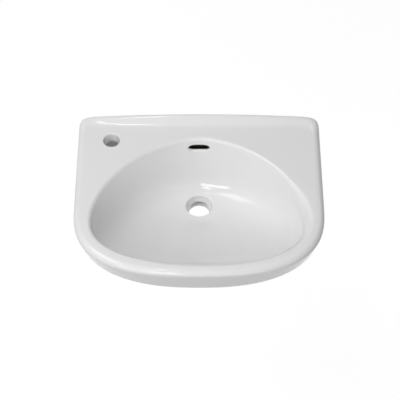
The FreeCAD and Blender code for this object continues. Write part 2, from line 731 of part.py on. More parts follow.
def make_fixing_bush(side):
    body = new_body(f"fixing_bush_{side}")
    sleeve = "#fixing_hole / 2 - #fit_gap"
    turned(body, "flanged_sleeve", [
        (BUSH_BORE, FLANGE_FRONT),
        ("#bush_flange / 2 - #edge_break", FLANGE_FRONT),
        ("#bush_flange / 2", f"{FLANGE_FRONT} + #edge_break"),
        ("#bush_flange / 2", SEAT),
        (sleeve, SEAT),
        (sleeve, "-#bush_short - #edge_break"),
        (f"{sleeve} - #edge_break", "-#bush_short"),
        (BUSH_BORE, "-#bush_short"),
    ])
    place_fixing(body, side)
    return body


def make_washer(side):
    body = new_body(f"washer_{side}")
    turned(body, "disc", [
        (BUSH_BORE, WASHER_FRONT),
        ("#washer_size / 2 - #edge_break", WASHER_FRONT),
        ("#washer_size / 2", f"{WASHER_FRONT} + #edge_break"),
        ("#washer_size / 2", FLANGE_FRONT),
        (BUSH_BORE, FLANGE_FRONT),
    ])
    place_fixing(body, side)
    return body


def make_nut(side):
    body = new_body(f"nut_{side}")
    sketch = sketch_on(body, "hexagon", "XY_Plane")
    corners = []
    for i in range(6):
        across = f"#nut_flats / sqrt(3) * cos({60 * i} deg)"
        up = f"#nut_flats / sqrt(3) * sin({60 * i} deg)"
        corners.append((across, up))
    polygon(sketch, corners)
    bind(sketch, "AttachmentOffset.Base.z", NUT_FRONT)
    pad = body.newObject("PartDesign::Pad", "block")
    pad.Profile = sketch
    bind(pad, "Length", "#nut_height")
    doc.recompute()
    before, behind = f"{NUT_FRONT} - #cut_over", f"{WASHER_FRONT} + #cut_over"
    inner, outer = "#nut_flats / 2 - #edge_break", "#nut_flats / sqrt(3) + #cut_over"
    depth = f"({outer} - ({inner})) * tan(#nut_chamfer * 1 deg)"
    for name, corners in (
            ("bore", [("0", before), (BUSH_BORE, before), (BUSH_BORE, behind), ("0", behind)]),
            ("chamfer", [(inner, NUT_FRONT), (inner, before), (outer, before),
                         (outer, f"{NUT_FRONT} + {depth}")])):
        section = sketch_on(body, name + "_section", "XZ_Plane")
        polygon(section, corners)
        groove = body.newObject("PartDesign::Groove", name)
        groove.Profile = section
        groove.ReferenceAxis = (section, ["V_Axis"])
        groove.Angle = 360
        doc.recompute()
    place_fixing(body, side)
    return body


def make_cover_cap(side):
    body = new_body(f"cover_cap_{side}")
    inside = "#washer_size / 2 + #fit_gap"
    bevel = "#cap_round * (1 - cos(45 deg))"
    turned(body, "dome", [
        ("0", CAP_FRONT),
        (f"{inside} + #cap_wall - #cap_round", CAP_FRONT),
        (f"{inside} + #cap_wall - {bevel}", f"{CAP_FRONT} + {bevel}"),
        (f"{inside} + #cap_wall", f"{CAP_FRONT} + #cap_round"),
        (f"{inside} + #cap_wall", FLANGE_FRONT),
        (inside, FLANGE_FRONT),
        (inside, f"{CAP_FRONT} + #cap_round"),
        (f"{inside} - #cap_round + #cap_wall", f"{CAP_FRONT} + #cap_wall"),
        ("0", f"{CAP_FRONT} + #cap_wall"),
    ])
    place_fixing(body, side)
    return body


parts = [make_basin_body()]
for side in ("left", "right"):
    parts.append(make_hanger_bolt(side))
    parts.append(make_wall_plug(side))
    parts.append(make_fixing_bush(side))
    parts.append(make_washer(side))
    parts.append(make_nut(side))
    parts.append(make_cover_cap(side))
doc.recompute()

failed = [o.Name for o in doc.Objects if "Invalid" in o.State or "Error" in o.State]
if failed:
    raise RuntimeError(f"objects that did not compute: {failed}")
for part in parts:
    if part.Shape.isNull() or not part.Shape.isValid() or not part.Shape.Solids:
        raise RuntimeError(f"{part.Label} has no sound solid")

os.makedirs("parts", exist_ok=True)
for part in parts:
    box = part.Shape.BoundBox
    print(f"{part.Label}: {len(part.Shape.Solids)} solid, {part.Shape.Volume / 1000:.1f} cm3, "
          f"x {box.XMin:.1f}..{box.XMax:.1f} y {box.YMin:.1f}..{box.YMax:.1f} "
          f"z {box.ZMin:.1f}..{box.ZMax:.1f}")
    part.Shape.exportStep(f"parts/{part.Label}.step")
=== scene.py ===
# %% [markdown]
# # A wall hung basin
#
# The basin is one ceramic casting with a white glaze over it, and a small set of fixings that
# holds it to the wall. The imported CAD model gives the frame: where the wall is, where the bolts
# sit, how large everything is. Here the casting gets a finer skin and every part its finish.

import math

import bmesh
import bpy
import numpy as np
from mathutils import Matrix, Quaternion, Vector


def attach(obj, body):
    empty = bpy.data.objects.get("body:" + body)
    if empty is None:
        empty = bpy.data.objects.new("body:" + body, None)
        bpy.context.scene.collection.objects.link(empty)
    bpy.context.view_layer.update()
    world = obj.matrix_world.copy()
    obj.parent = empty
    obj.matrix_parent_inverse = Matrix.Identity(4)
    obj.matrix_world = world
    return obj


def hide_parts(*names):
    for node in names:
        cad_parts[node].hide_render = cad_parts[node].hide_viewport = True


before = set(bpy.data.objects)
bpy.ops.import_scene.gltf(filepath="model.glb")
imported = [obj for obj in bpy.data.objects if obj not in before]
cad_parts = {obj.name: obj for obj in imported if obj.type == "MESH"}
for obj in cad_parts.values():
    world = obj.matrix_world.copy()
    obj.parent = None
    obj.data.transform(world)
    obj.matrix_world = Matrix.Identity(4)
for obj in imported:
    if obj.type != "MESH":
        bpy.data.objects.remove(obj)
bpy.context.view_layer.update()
print("CAD nodes:", len(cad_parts))

# %% [markdown]
# ## The camera
#
# The basin was pictured with a long lens from the front and high above. A long lens keeps the two
# sides nearly parallel, so the camera stands three metres away and looks down at 52 degrees.

# %% Camera
MM = 0.001
ELEVATION = math.radians(52.3)
AIM = Vector((0.0020, -0.2255, 0.0696))
DISTANCE = 3.022

camera_data = bpy.data.cameras.new("camera")
camera_data.sensor_width = 36
camera_data.lens = 131.05
camera = bpy.data.objects.new("camera", camera_data)
bpy.context.scene.collection.objects.link(camera)
look = Vector((0, math.cos(ELEVATION), -math.sin(ELEVATION)))
camera.location = AIM - look * DISTANCE
camera.rotation_euler = look.to_track_quat("-Z", "Y").to_euler()
bpy.context.scene.camera = camera
print("camera at", [round(c, 3) for c in camera.location])

# %% [markdown]
# ## The casting's sizes
#
# All sizes are in millimetres, measured as the CAD model measures them: heights from the deck,
# depths from the wall. The basin reaches out along -Y. A squareness is the exponent of a curve:
# 2 is an ellipse, and a larger one is fuller towards its corners.

# %% Sizes of the outline, the skirt and the rim
WIDTH = 520
DEPTH = 413
WIDEST = 238               # from the wall to where the sides start to curve in
FACE_PROUD = 0.4           # how far the glazed back stays clear of the wall
FRONT_SQUARENESS = 2.72
SKIRT_SQUARENESS = 2.4
CORNER_SQUARENESS = 25
DECK_RISE = 70             # from the fixing holes up to the deck
DECK_THICK = 13
SKIRT_FRONT = 60           # from the deck down to the lower edge at the front
SKIRT_WALL = 112           # the same at the wall
SKIRT_TURN = 310           # from the wall to where the lower edge starts to drop
SKIRT_DRAFT = 5            # how far the skirt leans in on its way down
SKIRT_THICK = 12
BACK_THICK = 14
FRONT_THICK = 28
INNER_ROUND = 8
RIM_ROLL = 14              # width of the rolled outer edge
RIM_DROP = 13              # its height
BACK_ROLL = 6              # radius of the upstand's edge at the wall
LIP_MIDDLE = 15.5          # the upstand's height at the middle
LIP_END = 5                # the same at its ends
LIP_REACH = 30             # from the wall to the foot of its slope
LIP_RETURN = 45            # from the wall to where it has died out along the sides
print("outline", WIDTH, "x", DEPTH, "mm")

# %% Sizes of the bowl and the holes
BOWL_WIDTH = 446
BOWL_REAR = 61
BOWL_FRONT = 384
BOWL_WIDEST = 273          # from the wall to the bowl's widest line
BOWL_DEPTH = 125           # from the deck down to the waste hole's mouth
BOWL_REAR_SQUARENESS = 1.75
BOWL_FRONT_SQUARENESS = 2.3
BOWL_SIDE_FULLNESS = 2.2   # exponent of the profile to the sides
BOWL_END_FULLNESS = 1.6    # the same to the front and the rear
BOWL_ROLL = 8
BOWL_SHELL = 11
WASTE_FROM_WALL = 145
WASTE_RADIUS = 23
WASTE_MOUTH = 30           # radius where the bowl's floor turns down into the hole
WASTE_ROLL = 1.8           # radius of that turn
WASTE_WALL = 31            # from the bowl's floor to the boss's lower face
WASTE_BOSS_RADIUS = 42
TAP_PLACE = (-187.5, -63.5)
TAP_RADIUS = 17.5
TAP_ROUND = 2.5            # radius of its rounded upper edge
TAP_WALL = 26              # from the deck to its boss's lower face
TAP_BOSS_RADIUS = 30
FIXING_SPACING = 280
FIXING_RADIUS = 8.0        # the CAD has 7.5; subdivision draws this in to between 7.5 and 7.9
SEAT_RADIUS = 17
SEAT_PROUD = 1
print("waste hole", 2 * WASTE_RADIUS, "mm, tap hole", 2 * TAP_RADIUS, "mm")

# %% [markdown]
# ## Stations and rings
#
# The skin is a net of quads that closes on itself like a tyre: every ring runs once round the
# basin, and the rings go over the deck, down the skirt, up inside it, under the bowl, up through
# the waste hole and up the bowl's wall to the deck again. A ring is a formula, so the net has no
# seams. The stations, the net's other direction, crowd together where the outline bends.

# %% The outline
def oval(angle, across, along, squareness):
    """Distance from the middle to a superellipse in the direction of each angle."""
    term = np.abs(np.cos(angle) / across) ** squareness
    term = term + np.abs(np.sin(angle) / along) ** squareness
    return term ** (-1 / squareness)


def outline(angle, side_in=0.0, back_in=0.0, front_in=0.0, squareness=FRONT_SQUARENESS):
    """The D-shaped outline seen from above, moved in by the given amounts."""
    across = WIDTH / 2 - side_in
    behind = oval(angle, across, WIDEST - FACE_PROUD - back_in, CORNER_SQUARENESS)
    before = oval(angle, across, DEPTH - WIDEST - front_in, squareness)
    radius = np.where(np.sin(angle) > 0, behind, before)
    return radius * np.cos(angle), radius * np.sin(angle) - WIDEST


def make_stations(spacing=8.0, turn_weight=9.0):
    """Directions from the front's middle round by the right, spaced by length and by bend."""
    fine = np.linspace(-math.pi / 2, 1.5 * math.pi, 14401)
    x, y = outline(fine)
    dx, dy = np.diff(x), np.diff(y)
    length = np.hypot(dx, dy)
    heading = np.unwrap(np.arctan2(dy, dx))
    turn = np.abs(np.diff(heading, append=heading[0] + math.tau))
    run = np.concatenate([[0], np.cumsum(length / spacing + turn * turn_weight)])
    count = 2 * int(round(run[-1] / 2))
    return np.interp(np.arange(count) / count * run[-1], run, fine)


STATIONS = make_stations()
print(len(STATIONS), "stations")

# %% Rings of the deck, the rim and the skirt
rings = []
ring_names = []


def add_ring(name, x, y, z):
    rings.append(np.stack(np.broadcast_arrays(x, y, z), axis=1).astype(float))
    ring_names.append(name)


def rows_named(*names):
    return [i for i, name in enumerate(ring_names) if name in names]


def fade(distance, start, end):
    share = np.clip((distance - start) / (end - start), 0, 1)
    return 1 - share * share * (3 - 2 * share)


def lip_height(x):
    out = x / (WIDTH / 2)
    return LIP_MIDDLE - (LIP_MIDDLE - LIP_END) * out * out


def skirt_edge(y):
    return SKIRT_FRONT + (SKIRT_WALL - SKIRT_FRONT) * fade(-y, 0, SKIRT_TURN)


SLOPE_SPREAD = 0.2         # the slope's foot leans in by this share of the roll's width
SLOPE_START = 1.2          # a little inside the foot, so that the slope runs out level


def slope_ring(share):
    """One ring of the upstand's slope, from SLOPE_START on the deck to its top at 0."""
    inwards = RIM_ROLL * (1 + SLOPE_SPREAD * share)
    back = BACK_ROLL + (LIP_REACH - BACK_ROLL) * share
    x, y = outline(STATIONS, inwards, back, inwards)
    rise = 0.5 * (1 + math.cos(math.pi * min(share, 1)))
    return x, y, DECK_RISE + lip_height(x) * rise * fade(-y, 0, LIP_RETURN)


def roll_ring(turn):
    """One ring of the rolled edge; turn falls from a right angle on top to 0 at the side."""
    inwards = RIM_ROLL * (1 - math.cos(turn))
    x, y = outline(STATIONS, inwards, BACK_ROLL * (1 - math.cos(turn)), inwards)
    at_wall = fade(-y, 0, LIP_RETURN)
    over_lip = lip_height(x) - BACK_ROLL * (1 - math.sin(turn))
    over_rim = -RIM_DROP * (1 - math.sin(turn))
    return x, y, DECK_RISE + at_wall * over_lip + (1 - at_wall) * over_rim


def skirt_ring(share):
    inwards = SKIRT_DRAFT * share
    squareness = FRONT_SQUARENESS + (SKIRT_SQUARENESS - FRONT_SQUARENESS) * share
    x, y = outline(STATIONS, inwards, 0, inwards, squareness)
    at_wall = fade(-y, 0, LIP_RETURN)
    top = at_wall * (lip_height(x) - BACK_ROLL) - (1 - at_wall) * RIM_DROP
    foot = SKIRT_THICK / 2 - skirt_edge(y)
    return x, y, DECK_RISE + top + share * (foot - top)


for share in np.linspace(SLOPE_START, 0, 11):
    add_ring("slope", *slope_ring(share))
for degrees in np.linspace(90, 0, 10)[1:]:
    add_ring("roll", *roll_ring(math.radians(degrees)))
for share in (0.06, 0.14, 0.25, 0.4, 0.55, 0.7, 0.84, 0.94, 1.0):
    add_ring("skirt", *skirt_ring(share))
print(len(rings), "rings down to the skirt's foot")

# %% Rings round the skirt's lower edge and up inside it
HALF_WALL = SKIRT_THICK / 2
for degrees in np.linspace(0, 180, 10)[1:]:
    turn = math.radians(degrees)
    across = 0.5 * (1 - math.cos(turn))
    inwards = SKIRT_DRAFT + SKIRT_THICK * across
    x, y = outline(STATIONS, inwards, BACK_THICK * across, inwards, SKIRT_SQUARENESS)
    add_ring("edge", x, y, DECK_RISE - skirt_edge(y) + HALF_WALL * (1 - math.sin(turn)))
for share in np.linspace(0, 1, 9)[1:]:
    inwards = SKIRT_THICK + SKIRT_DRAFT * (1 - share)
    front_in = inwards + (FRONT_THICK - SKIRT_THICK) * share
    squareness = SKIRT_SQUARENESS + (FRONT_SQUARENESS - SKIRT_SQUARENESS) * share
    x, y = outline(STATIONS, inwards, BACK_THICK, front_in, squareness)
    top = DECK_THICK + INNER_ROUND
    below = (skirt_edge(y) - HALF_WALL) * (1 - share) + top * share
    add_ring("inside", x, y, DECK_RISE - below)
for degrees in (15, 30, 45, 60, 75, 90):
    turn = math.radians(degrees)
    inwards = INNER_ROUND * (1 - math.cos(turn))
    x, y = outline(STATIONS, SKIRT_THICK + inwards, BACK_THICK + inwards, FRONT_THICK + inwards)
    below = DECK_THICK + INNER_ROUND * (1 - math.sin(turn))
    add_ring("fillet", x, y, DECK_RISE - below)
under_edge = rings[-1]
print(len(rings), "rings to the deck's underside")

# %% [markdown]
# ## The bowl's rings
#
# The bowl is an egg-shaped oval at the deck and a circle at the waste hole, which lies nearer to
# the wall than the oval's middle. Each level is an oval whose widths shrink along two different
# curves, one for the sides and a leaner one for front and rear.

# %% A level of the bowl
slope_foot = rings[0]
turn_x = slope_foot[:, 0] / (WIDTH / 2)
turn_y = slope_foot[:, 1] + BOWL_WIDEST
turn_y = turn_y / np.where(turn_y > 0, BOWL_WIDEST - BOWL_REAR, BOWL_FRONT - BOWL_WIDEST)
BOWL_TURN = np.unwrap(np.arctan2(turn_y, turn_x))


def bowl_level(share, out):
    """The oval at a share of the way down from the edge, 0, to the waste, 1; out widens it."""
    to_side = (1 - share ** BOWL_SIDE_FULLNESS) ** (1 / BOWL_SIDE_FULLNESS)
    to_end = (1 - share ** BOWL_END_FULLNESS) ** (1 / BOWL_END_FULLNESS)
    across = WASTE_MOUTH + (BOWL_WIDTH / 2 - WASTE_MOUTH) * to_side + out
    middle = WASTE_FROM_WALL + (BOWL_WIDEST - WASTE_FROM_WALL) * to_end
    rear = WASTE_FROM_WALL - WASTE_MOUTH
    rear += (BOWL_REAR - rear) * to_end
    front = WASTE_FROM_WALL + WASTE_MOUTH
    front += (BOWL_FRONT - front) * to_end
    rear_squareness = 2 + (BOWL_REAR_SQUARENESS - 2) * to_end
    front_squareness = 2 + (BOWL_FRONT_SQUARENESS - 2) * to_end
    return (across, middle, middle - rear + out, front - middle + out, rear_squareness,
            front_squareness)


def bowl_ring(share, out=0.0):
    across, middle, behind, before, rear_squareness, front_squareness = bowl_level(share, out)
    rear_half = np.sin(BOWL_TURN) > 0
    along = np.where(rear_half, behind, before)
    angle = np.arctan2(along * np.sin(BOWL_TURN), across * np.cos(BOWL_TURN))
    radius = np.where(rear_half, oval(angle, across, behind, rear_squareness),
                      oval(angle, across, before, front_squareness))
    return radius * np.cos(angle), radius * np.sin(angle) - middle


# %% Rings under the bowl, down to the waste boss
RIB_HALF = 28
RIB_HEIGHTS = [-(BOWL_DEPTH + WASTE_WALL), -133.0, -75.0, -DECK_THICK / 2]
RIB_DEPTHS = [-84, -72, -40, -32]


def with_rib(x, y, z):
    """Push the rear of a ring back to the rib that holds the overflow duct."""
    rib_y = np.interp(z - DECK_RISE, RIB_HEIGHTS, RIB_DEPTHS)
    mask = fade(np.abs(x), RIB_HALF - 1.5, RIB_HALF + 5) * (y > -WASTE_FROM_WALL)
    return x, np.where(rib_y > y, y + (rib_y - y) * mask, y), z


SHELL_FILLET = 5
SHELL_TOP = DECK_THICK / 2
shell_span = BOWL_DEPTH + BOWL_SHELL - SHELL_TOP
x, y = bowl_ring(0, BOWL_SHELL + SHELL_FILLET)
shell_edge = np.stack(np.broadcast_arrays(*with_rib(x, y, DECK_RISE - DECK_THICK)), axis=1)
for share in np.linspace(0, 1, 8)[1:]:
    flat = under_edge + (shell_edge - under_edge) * share
    add_ring("underside", flat[:, 0], flat[:, 1], flat[:, 2])
for degrees in (30, 60, 90):
    turn = math.radians(degrees)
    below = DECK_THICK + SHELL_FILLET * (1 - math.cos(turn))
    x, y = bowl_ring((below - SHELL_TOP) / shell_span, BOWL_SHELL
                     + SHELL_FILLET * (1 - math.sin(turn)))
    add_ring("shell", *with_rib(x, y, DECK_RISE - below))
start = math.asin((DECK_THICK + SHELL_FILLET - SHELL_TOP) / shell_span)
for phase in np.linspace(start, math.radians(84), 17)[1:]:
    share = math.sin(phase)
    x, y = bowl_ring(share, BOWL_SHELL)
    add_ring("shell", *with_rib(x, y, DECK_RISE - SHELL_TOP - shell_span * share))
boss_bottom = DECK_RISE - BOWL_DEPTH - WASTE_WALL
for radius, rise in ((WASTE_BOSS_RADIUS + 3, 19), (WASTE_BOSS_RADIUS + 0.6, 16),
                     (WASTE_BOSS_RADIUS, 12), (WASTE_BOSS_RADIUS, 7), (WASTE_BOSS_RADIUS, 2.6),
                     (WASTE_BOSS_RADIUS - 0.6, 0.8), (WASTE_BOSS_RADIUS - 2.4, 0)):
    x, y = radius * np.cos(BOWL_TURN), radius * np.sin(BOWL_TURN) - WASTE_FROM_WALL
    add_ring("boss", *with_rib(x, y, boss_bottom + rise))
print(len(rings), "rings to the waste boss")

# %% Rings up through the waste hole and up the bowl
def round_ring(name, radius, z):
    add_ring(name, radius * np.cos(BOWL_TURN), radius * np.sin(BOWL_TURN) - WASTE_FROM_WALL, z)


for radius in (37, 31, 26.5):
    round_ring("boss_face", radius, boss_bottom)
bowl_floor = DECK_RISE - BOWL_DEPTH
LEAN = math.radians(6)
throat_radius = WASTE_MOUTH - WASTE_ROLL * math.cos(LEAN)
throat_z = bowl_floor - WASTE_ROLL * (1 - math.sin(LEAN))
THROAT_DEPTHS = [0, 5, 9, 12, 14]
THROAT_RADII = [throat_radius, throat_radius - 0.5, 26.0, 23.6, WASTE_RADIUS]


def bore_radius(z):
    """Radius of the waste hole at a height: steep under its mouth, then narrowing to the bore."""
    return float(np.interp(bowl_floor - z, THROAT_DEPTHS, THROAT_RADII))


round_ring("hole_edge", WASTE_RADIUS + 0.8, boss_bottom + 0.15)
round_ring("hole_edge", WASTE_RADIUS + 0.15, boss_bottom + 0.8)
for z in np.linspace(boss_bottom + 1.6, throat_z, 21):
    round_ring("hole", bore_radius(z), z)
for turn in np.linspace(LEAN, math.pi / 2, 6)[1:-1]:
    round_ring("mouth", WASTE_MOUTH - WASTE_ROLL * math.cos(turn),
               bowl_floor - WASTE_ROLL * (1 - math.sin(turn)))
for phase in np.linspace(90, 0, 37):
    share = math.sin(math.radians(phase)) ** 1.06
    x, y = bowl_ring(share)
    add_ring("bowl", x, y, DECK_RISE - BOWL_ROLL - (BOWL_DEPTH - BOWL_ROLL) * share)
for degrees in (15, 30, 45, 60, 75, 90):
    turn = math.radians(degrees)
    x, y = bowl_ring(0, BOWL_ROLL * (1 - math.cos(turn)))
    add_ring("bowl_roll", x, y, DECK_RISE - BOWL_ROLL * (1 - math.sin(turn)))
bowl_edge = rings[-1]
for share in np.linspace(0, 1, 16)[1:-1]:
    flat = bowl_edge + (slope_foot - bowl_edge) * share
    add_ring("deck", flat[:, 0], flat[:, 1], flat[:, 2])
print(len(rings), "rings in all")

# %% [markdown]
# ## A softer edge at the front right
#
# The bowl's edge is crisp at the left and behind, but at the front and the right it melts into the
# rim, where the wet casting was sponged. Each point there is moved towards the middle of its two
# neighbours along the profile, many times over, which rounds the edge more with every pass. A
# weight for each station says how much, and it fades out along the edge.

# %% Sponge the edge
def sponge(rows, weight, passes):
    for _ in range(passes):
        block = np.array([rings[r] for r in rows])
        middle = (block[:-2] + block[2:]) / 2
        block[1:-1] += (middle - block[1:-1]) * (0.5 * weight)[None, :, None]
        for r, ring in zip(rows, block):
            rings[r] = ring


ROWS_OF_WALL, ROWS_OF_ROLL = 9, 2          # how far the sponge reaches down on either side
SPONGE_PASSES = 60

across_rim = rows_named("bowl")[-ROWS_OF_WALL:] + rows_named("bowl_roll", "deck")
across_rim += rows_named("slope") + rows_named("roll")[:ROWS_OF_ROLL]
from_right = np.degrees(np.remainder(BOWL_TURN + math.pi, math.tau) - math.pi)
softness = fade(-from_right, 70, 115) * fade(from_right, 0, 30)
crisp = rings[rows_named("bowl_roll")[3]].copy()
sponge(across_rim, softness, SPONGE_PASSES)
moved = np.abs(rings[rows_named("bowl_roll")[3]] - crisp).max()
print("the rolled edge moved by up to", round(float(moved), 2), "mm")

# %% [markdown]
# ## Openings in the net
#
# A hole is made by leaving out a block of cells and filling the space between the block's border
# and the hole with loops of the same number of points. So the net stays regular round each hole,
# with triangles only where two loops of different counts meet, and no boolean leaves slivers that
# a glossy glaze would show.

# %% Loops and bridges
GRID = np.arange(len(rings) * len(STATIONS)).reshape(len(rings), len(STATIONS))
points = [tuple(p) for ring in rings for p in ring]
keep = np.ones(GRID.shape, bool)
extra_faces = []


def open_block(rows, is_inside):
    """Leave out the smallest block of cells that holds the points for which is_inside is true.
    Returns the point numbers of the block's border, in order. Rows past the last start again."""
    count = len(rings)
    found = [(r, c) for r in rows for c in range(len(STATIONS)) if is_inside(*rings[r % count][c])]
    r0, r1 = min(r for r, c in found) - 1, max(r for r, c in found) + 1
    c0, c1 = min(c for r, c in found) - 1, max(c for r, c in found) + 1
    for r in range(r0, r1):
        keep[r % count, c0:c1] = False
    border = [(r0, c) for c in range(c0, c1)] + [(r, c1) for r in range(r0, r1)]
    border += [(r1, c) for c in range(c1, c0, -1)] + [(r, c0) for r in range(r1, r0, -1)]
    print("opened", r1 - r0, "x", c1 - c0, "cells between", ring_names[r0 % count], "and",
          ring_names[r1 % count])
    return [GRID[r % count, c] for r, c in border]


def add_loop(places):
    first = len(points)
    points.extend(tuple(float(v) for v in p) for p in places)
    return list(range(first, len(points)))


def bridge(loop_a, loop_b):
    """Faces between two loops that run the same way; triangles where one has more points."""
    count_a, count_b = len(loop_a), len(loop_b)
    i = j = 0
    while i < count_a or j < count_b:
        if count_a == count_b:
            extra_faces.append((loop_a[i], loop_a[(i + 1) % count_a], loop_b[(j + 1) % count_b],
                                loop_b[j]))
            i, j = i + 1, j + 1
        elif j >= count_b or (i < count_a and (i + 1) / count_a <= (j + 1) / count_b):
            extra_faces.append((loop_a[i], loop_a[(i + 1) % count_a], loop_b[j % count_b]))
            i += 1
        else:
            extra_faces.append((loop_a[i % count_a], loop_b[(j + 1) % count_b],
                                loop_b[j % count_b]))
            j += 1


def even_turns(border, across, up):
    """An evenly spaced angle for each point of a border, starting where its first point is."""
    turns = np.unwrap([math.atan2(up(points[n]), across(points[n])) for n in border])
    steps = np.arange(len(border)) / len(border) * math.copysign(math.tau, turns[-1] - turns[0])
    return steps + np.mean(turns - steps)


def line_up(loop, target):
    """Turn a loop's start so that its first point is the one nearest to the target's first."""
    first = np.array(points[target[0]])
    gaps = [np.sum((np.array(points[n]) - first) ** 2) for n in loop]
    shift = int(np.argmin(gaps))
    return loop[shift:] + loop[:shift]


# %% The tap hole
def tap_offset(place):
    return place[0] - TAP_PLACE[0], place[1] - TAP_PLACE[1]


def tap_loops(border, profile):
    """Loops round the tap hole from a border to the end of a profile of radius and height."""
    turns = even_turns(border, lambda p: tap_offset(p)[0], lambda p: tap_offset(p)[1])
    previous = border
    first_radius, first_z = profile[0]
    target = np.stack([TAP_PLACE[0] + first_radius * np.cos(turns),
                       TAP_PLACE[1] + first_radius * np.sin(turns),
                       np.full(len(turns), first_z)], axis=1)
    start = np.array([points[n] for n in border])
    for share in (0.35, 0.7):
        loop = add_loop(start + (target - start) * share)
        bridge(previous, loop)
        previous = loop
    for radius, z in profile:
        loop = add_loop([(TAP_PLACE[0] + radius * math.cos(t), TAP_PLACE[1]
                          + radius * math.sin(t), z) for t in turns])
        bridge(previous, loop)
        previous = loop
    return previous


def near_tap(radius):
    return lambda x, y, z: math.hypot(x - TAP_PLACE[0], y - TAP_PLACE[1]) < radius


deck_rows = rows_named("deck") + [len(rings) + r for r in rows_named("slope")]
tap_top = open_block(deck_rows, near_tap(TAP_RADIUS + TAP_ROUND + 2))
mouth = [(TAP_RADIUS + TAP_ROUND + 1.2, DECK_RISE)]
for degrees in (90, 72, 54, 36, 18, 0):
    turn = math.radians(degrees)
    mouth.append((TAP_RADIUS + TAP_ROUND * (1 - math.cos(turn)),
                  DECK_RISE - TAP_ROUND * (1 - math.sin(turn))))
mouth += [(TAP_RADIUS, DECK_RISE - d) for d in (5, 8, 12, 16)]
upper = tap_loops(tap_top, mouth)
print("tap hole mouth has", len(tap_top), "points")

# %% The tap hole's lower end and its boss
tap_bottom = DECK_RISE - TAP_WALL
under_deck = DECK_RISE - DECK_THICK
near_boss = near_tap(TAP_BOSS_RADIUS + 2)
tap_under = open_block(rows_named("fillet", "underside", "shell"),
                       lambda x, y, z: z > under_deck - 9 and near_boss(x, y, z))
boss = [(TAP_BOSS_RADIUS + 2, under_deck - 0.3), (TAP_BOSS_RADIUS + 0.5, under_deck - 1.5),
        (TAP_BOSS_RADIUS, under_deck - 4), (TAP_BOSS_RADIUS, tap_bottom + 4),
        (TAP_BOSS_RADIUS - 0.5, tap_bottom + 1), (TAP_BOSS_RADIUS - 2, tap_bottom),
        (25, tap_bottom), (TAP_RADIUS + 1.5, tap_bottom), (TAP_RADIUS + 0.3, tap_bottom + 0.3),
        (TAP_RADIUS, tap_bottom + 1.5), (TAP_RADIUS, tap_bottom + 5)]
lower = tap_loops(tap_under, boss)


def join(loop_a, loop_b):
    """Bridge two open loops that face each other, whichever way each one runs."""
    a = np.array([points[n] for n in loop_a])
    b = np.array([points[n] for n in loop_b])
    middle = a.mean(axis=0)
    normal_a = sum(np.cross(a[i] - middle, a[(i + 1) % len(a)] - middle) for i in range(len(a)))
    middle = b.mean(axis=0)
    normal_b = sum(np.cross(b[i] - middle, b[(i + 1) % len(b)] - middle) for i in range(len(b)))
    if np.dot(normal_a, normal_b) < 0:
        loop_b = loop_b[::-1]
    bridge(loop_a, line_up(loop_b, loop_a))


join(upper, lower)

# %% The holes and seats of the fixings
def fixing_loops(border, centre_x, profile):
    turns = even_turns(border, lambda p: p[0] - centre_x, lambda p: p[2])
    previous = border
    for radius, y in profile:
        loop = add_loop([(centre_x + radius * math.cos(t), y, radius * math.sin(t))
                         for t in turns])
        bridge(previous, loop)
        previous = loop
    return previous


for centre_x in (-FIXING_SPACING / 2, FIXING_SPACING / 2):
    def near_fixing(radius, x, y, z, centre_x=centre_x):
        return y > -BACK_THICK - 2 and math.hypot(x - centre_x, z) < radius

    outer = open_block(rows_named("roll", "skirt", "edge"),
                       lambda x, y, z: near_fixing(FIXING_RADIUS + 3, x, y, z))
    inner = open_block(rows_named("edge", "inside"),
                       lambda x, y, z: near_fixing(SEAT_RADIUS + 2, x, y, z))
    back, front = -FACE_PROUD, -(BACK_THICK + FACE_PROUD)
    outer = fixing_loops(outer, centre_x, [(FIXING_RADIUS + 1.2, back), (FIXING_RADIUS + 0.4, back),
                                           (FIXING_RADIUS, back - 0.5),
                                           (FIXING_RADIUS, back - 5)])
    seat = front - SEAT_PROUD
    inner = fixing_loops(inner, centre_x, [(SEAT_RADIUS + 0.8, front), (SEAT_RADIUS, front - 0.3),
                                           (SEAT_RADIUS - 0.3, seat), (SEAT_RADIUS - 1.5, seat),
                                           (11, seat), (FIXING_RADIUS + 0.3, seat),
                                           (FIXING_RADIUS, seat + 0.5),
                                           (FIXING_RADIUS, seat + 5)])
    join(outer, inner)

# %% [markdown]
# ## The overflow
#
# A slot in the bowl's rear wall lets surplus water into a duct that runs down inside the casting
# and out through a window in the waste hole. The slot's upper edge is thin and its sill is a wide
# soft curve, because the wet casting was sponged there by hand.

# %% The slot and its sill
SLOT_HALF_WIDTH = 23
SLOT_HALF_HEIGHT = 7.5
SLOT_MIDDLE = DECK_RISE - 18.5 - SLOT_HALF_HEIGHT
SLOT_SQUARENESS = 3.0
SILL_ROUND = 13.0
SILL_DEPTH = 4.0
TOP_ROUND = 1.5


def bowl_wall(x, z):
    """Depth of the bowl's rear wall at a place seen from the front."""
    share = max((DECK_RISE - z - BOWL_ROLL) / (BOWL_DEPTH - BOWL_ROLL), 0)
    across, middle, behind, _, squareness, _ = bowl_level(share, 0)
    return behind * (1 - abs(x / across) ** squareness) ** (1 / squareness) - middle


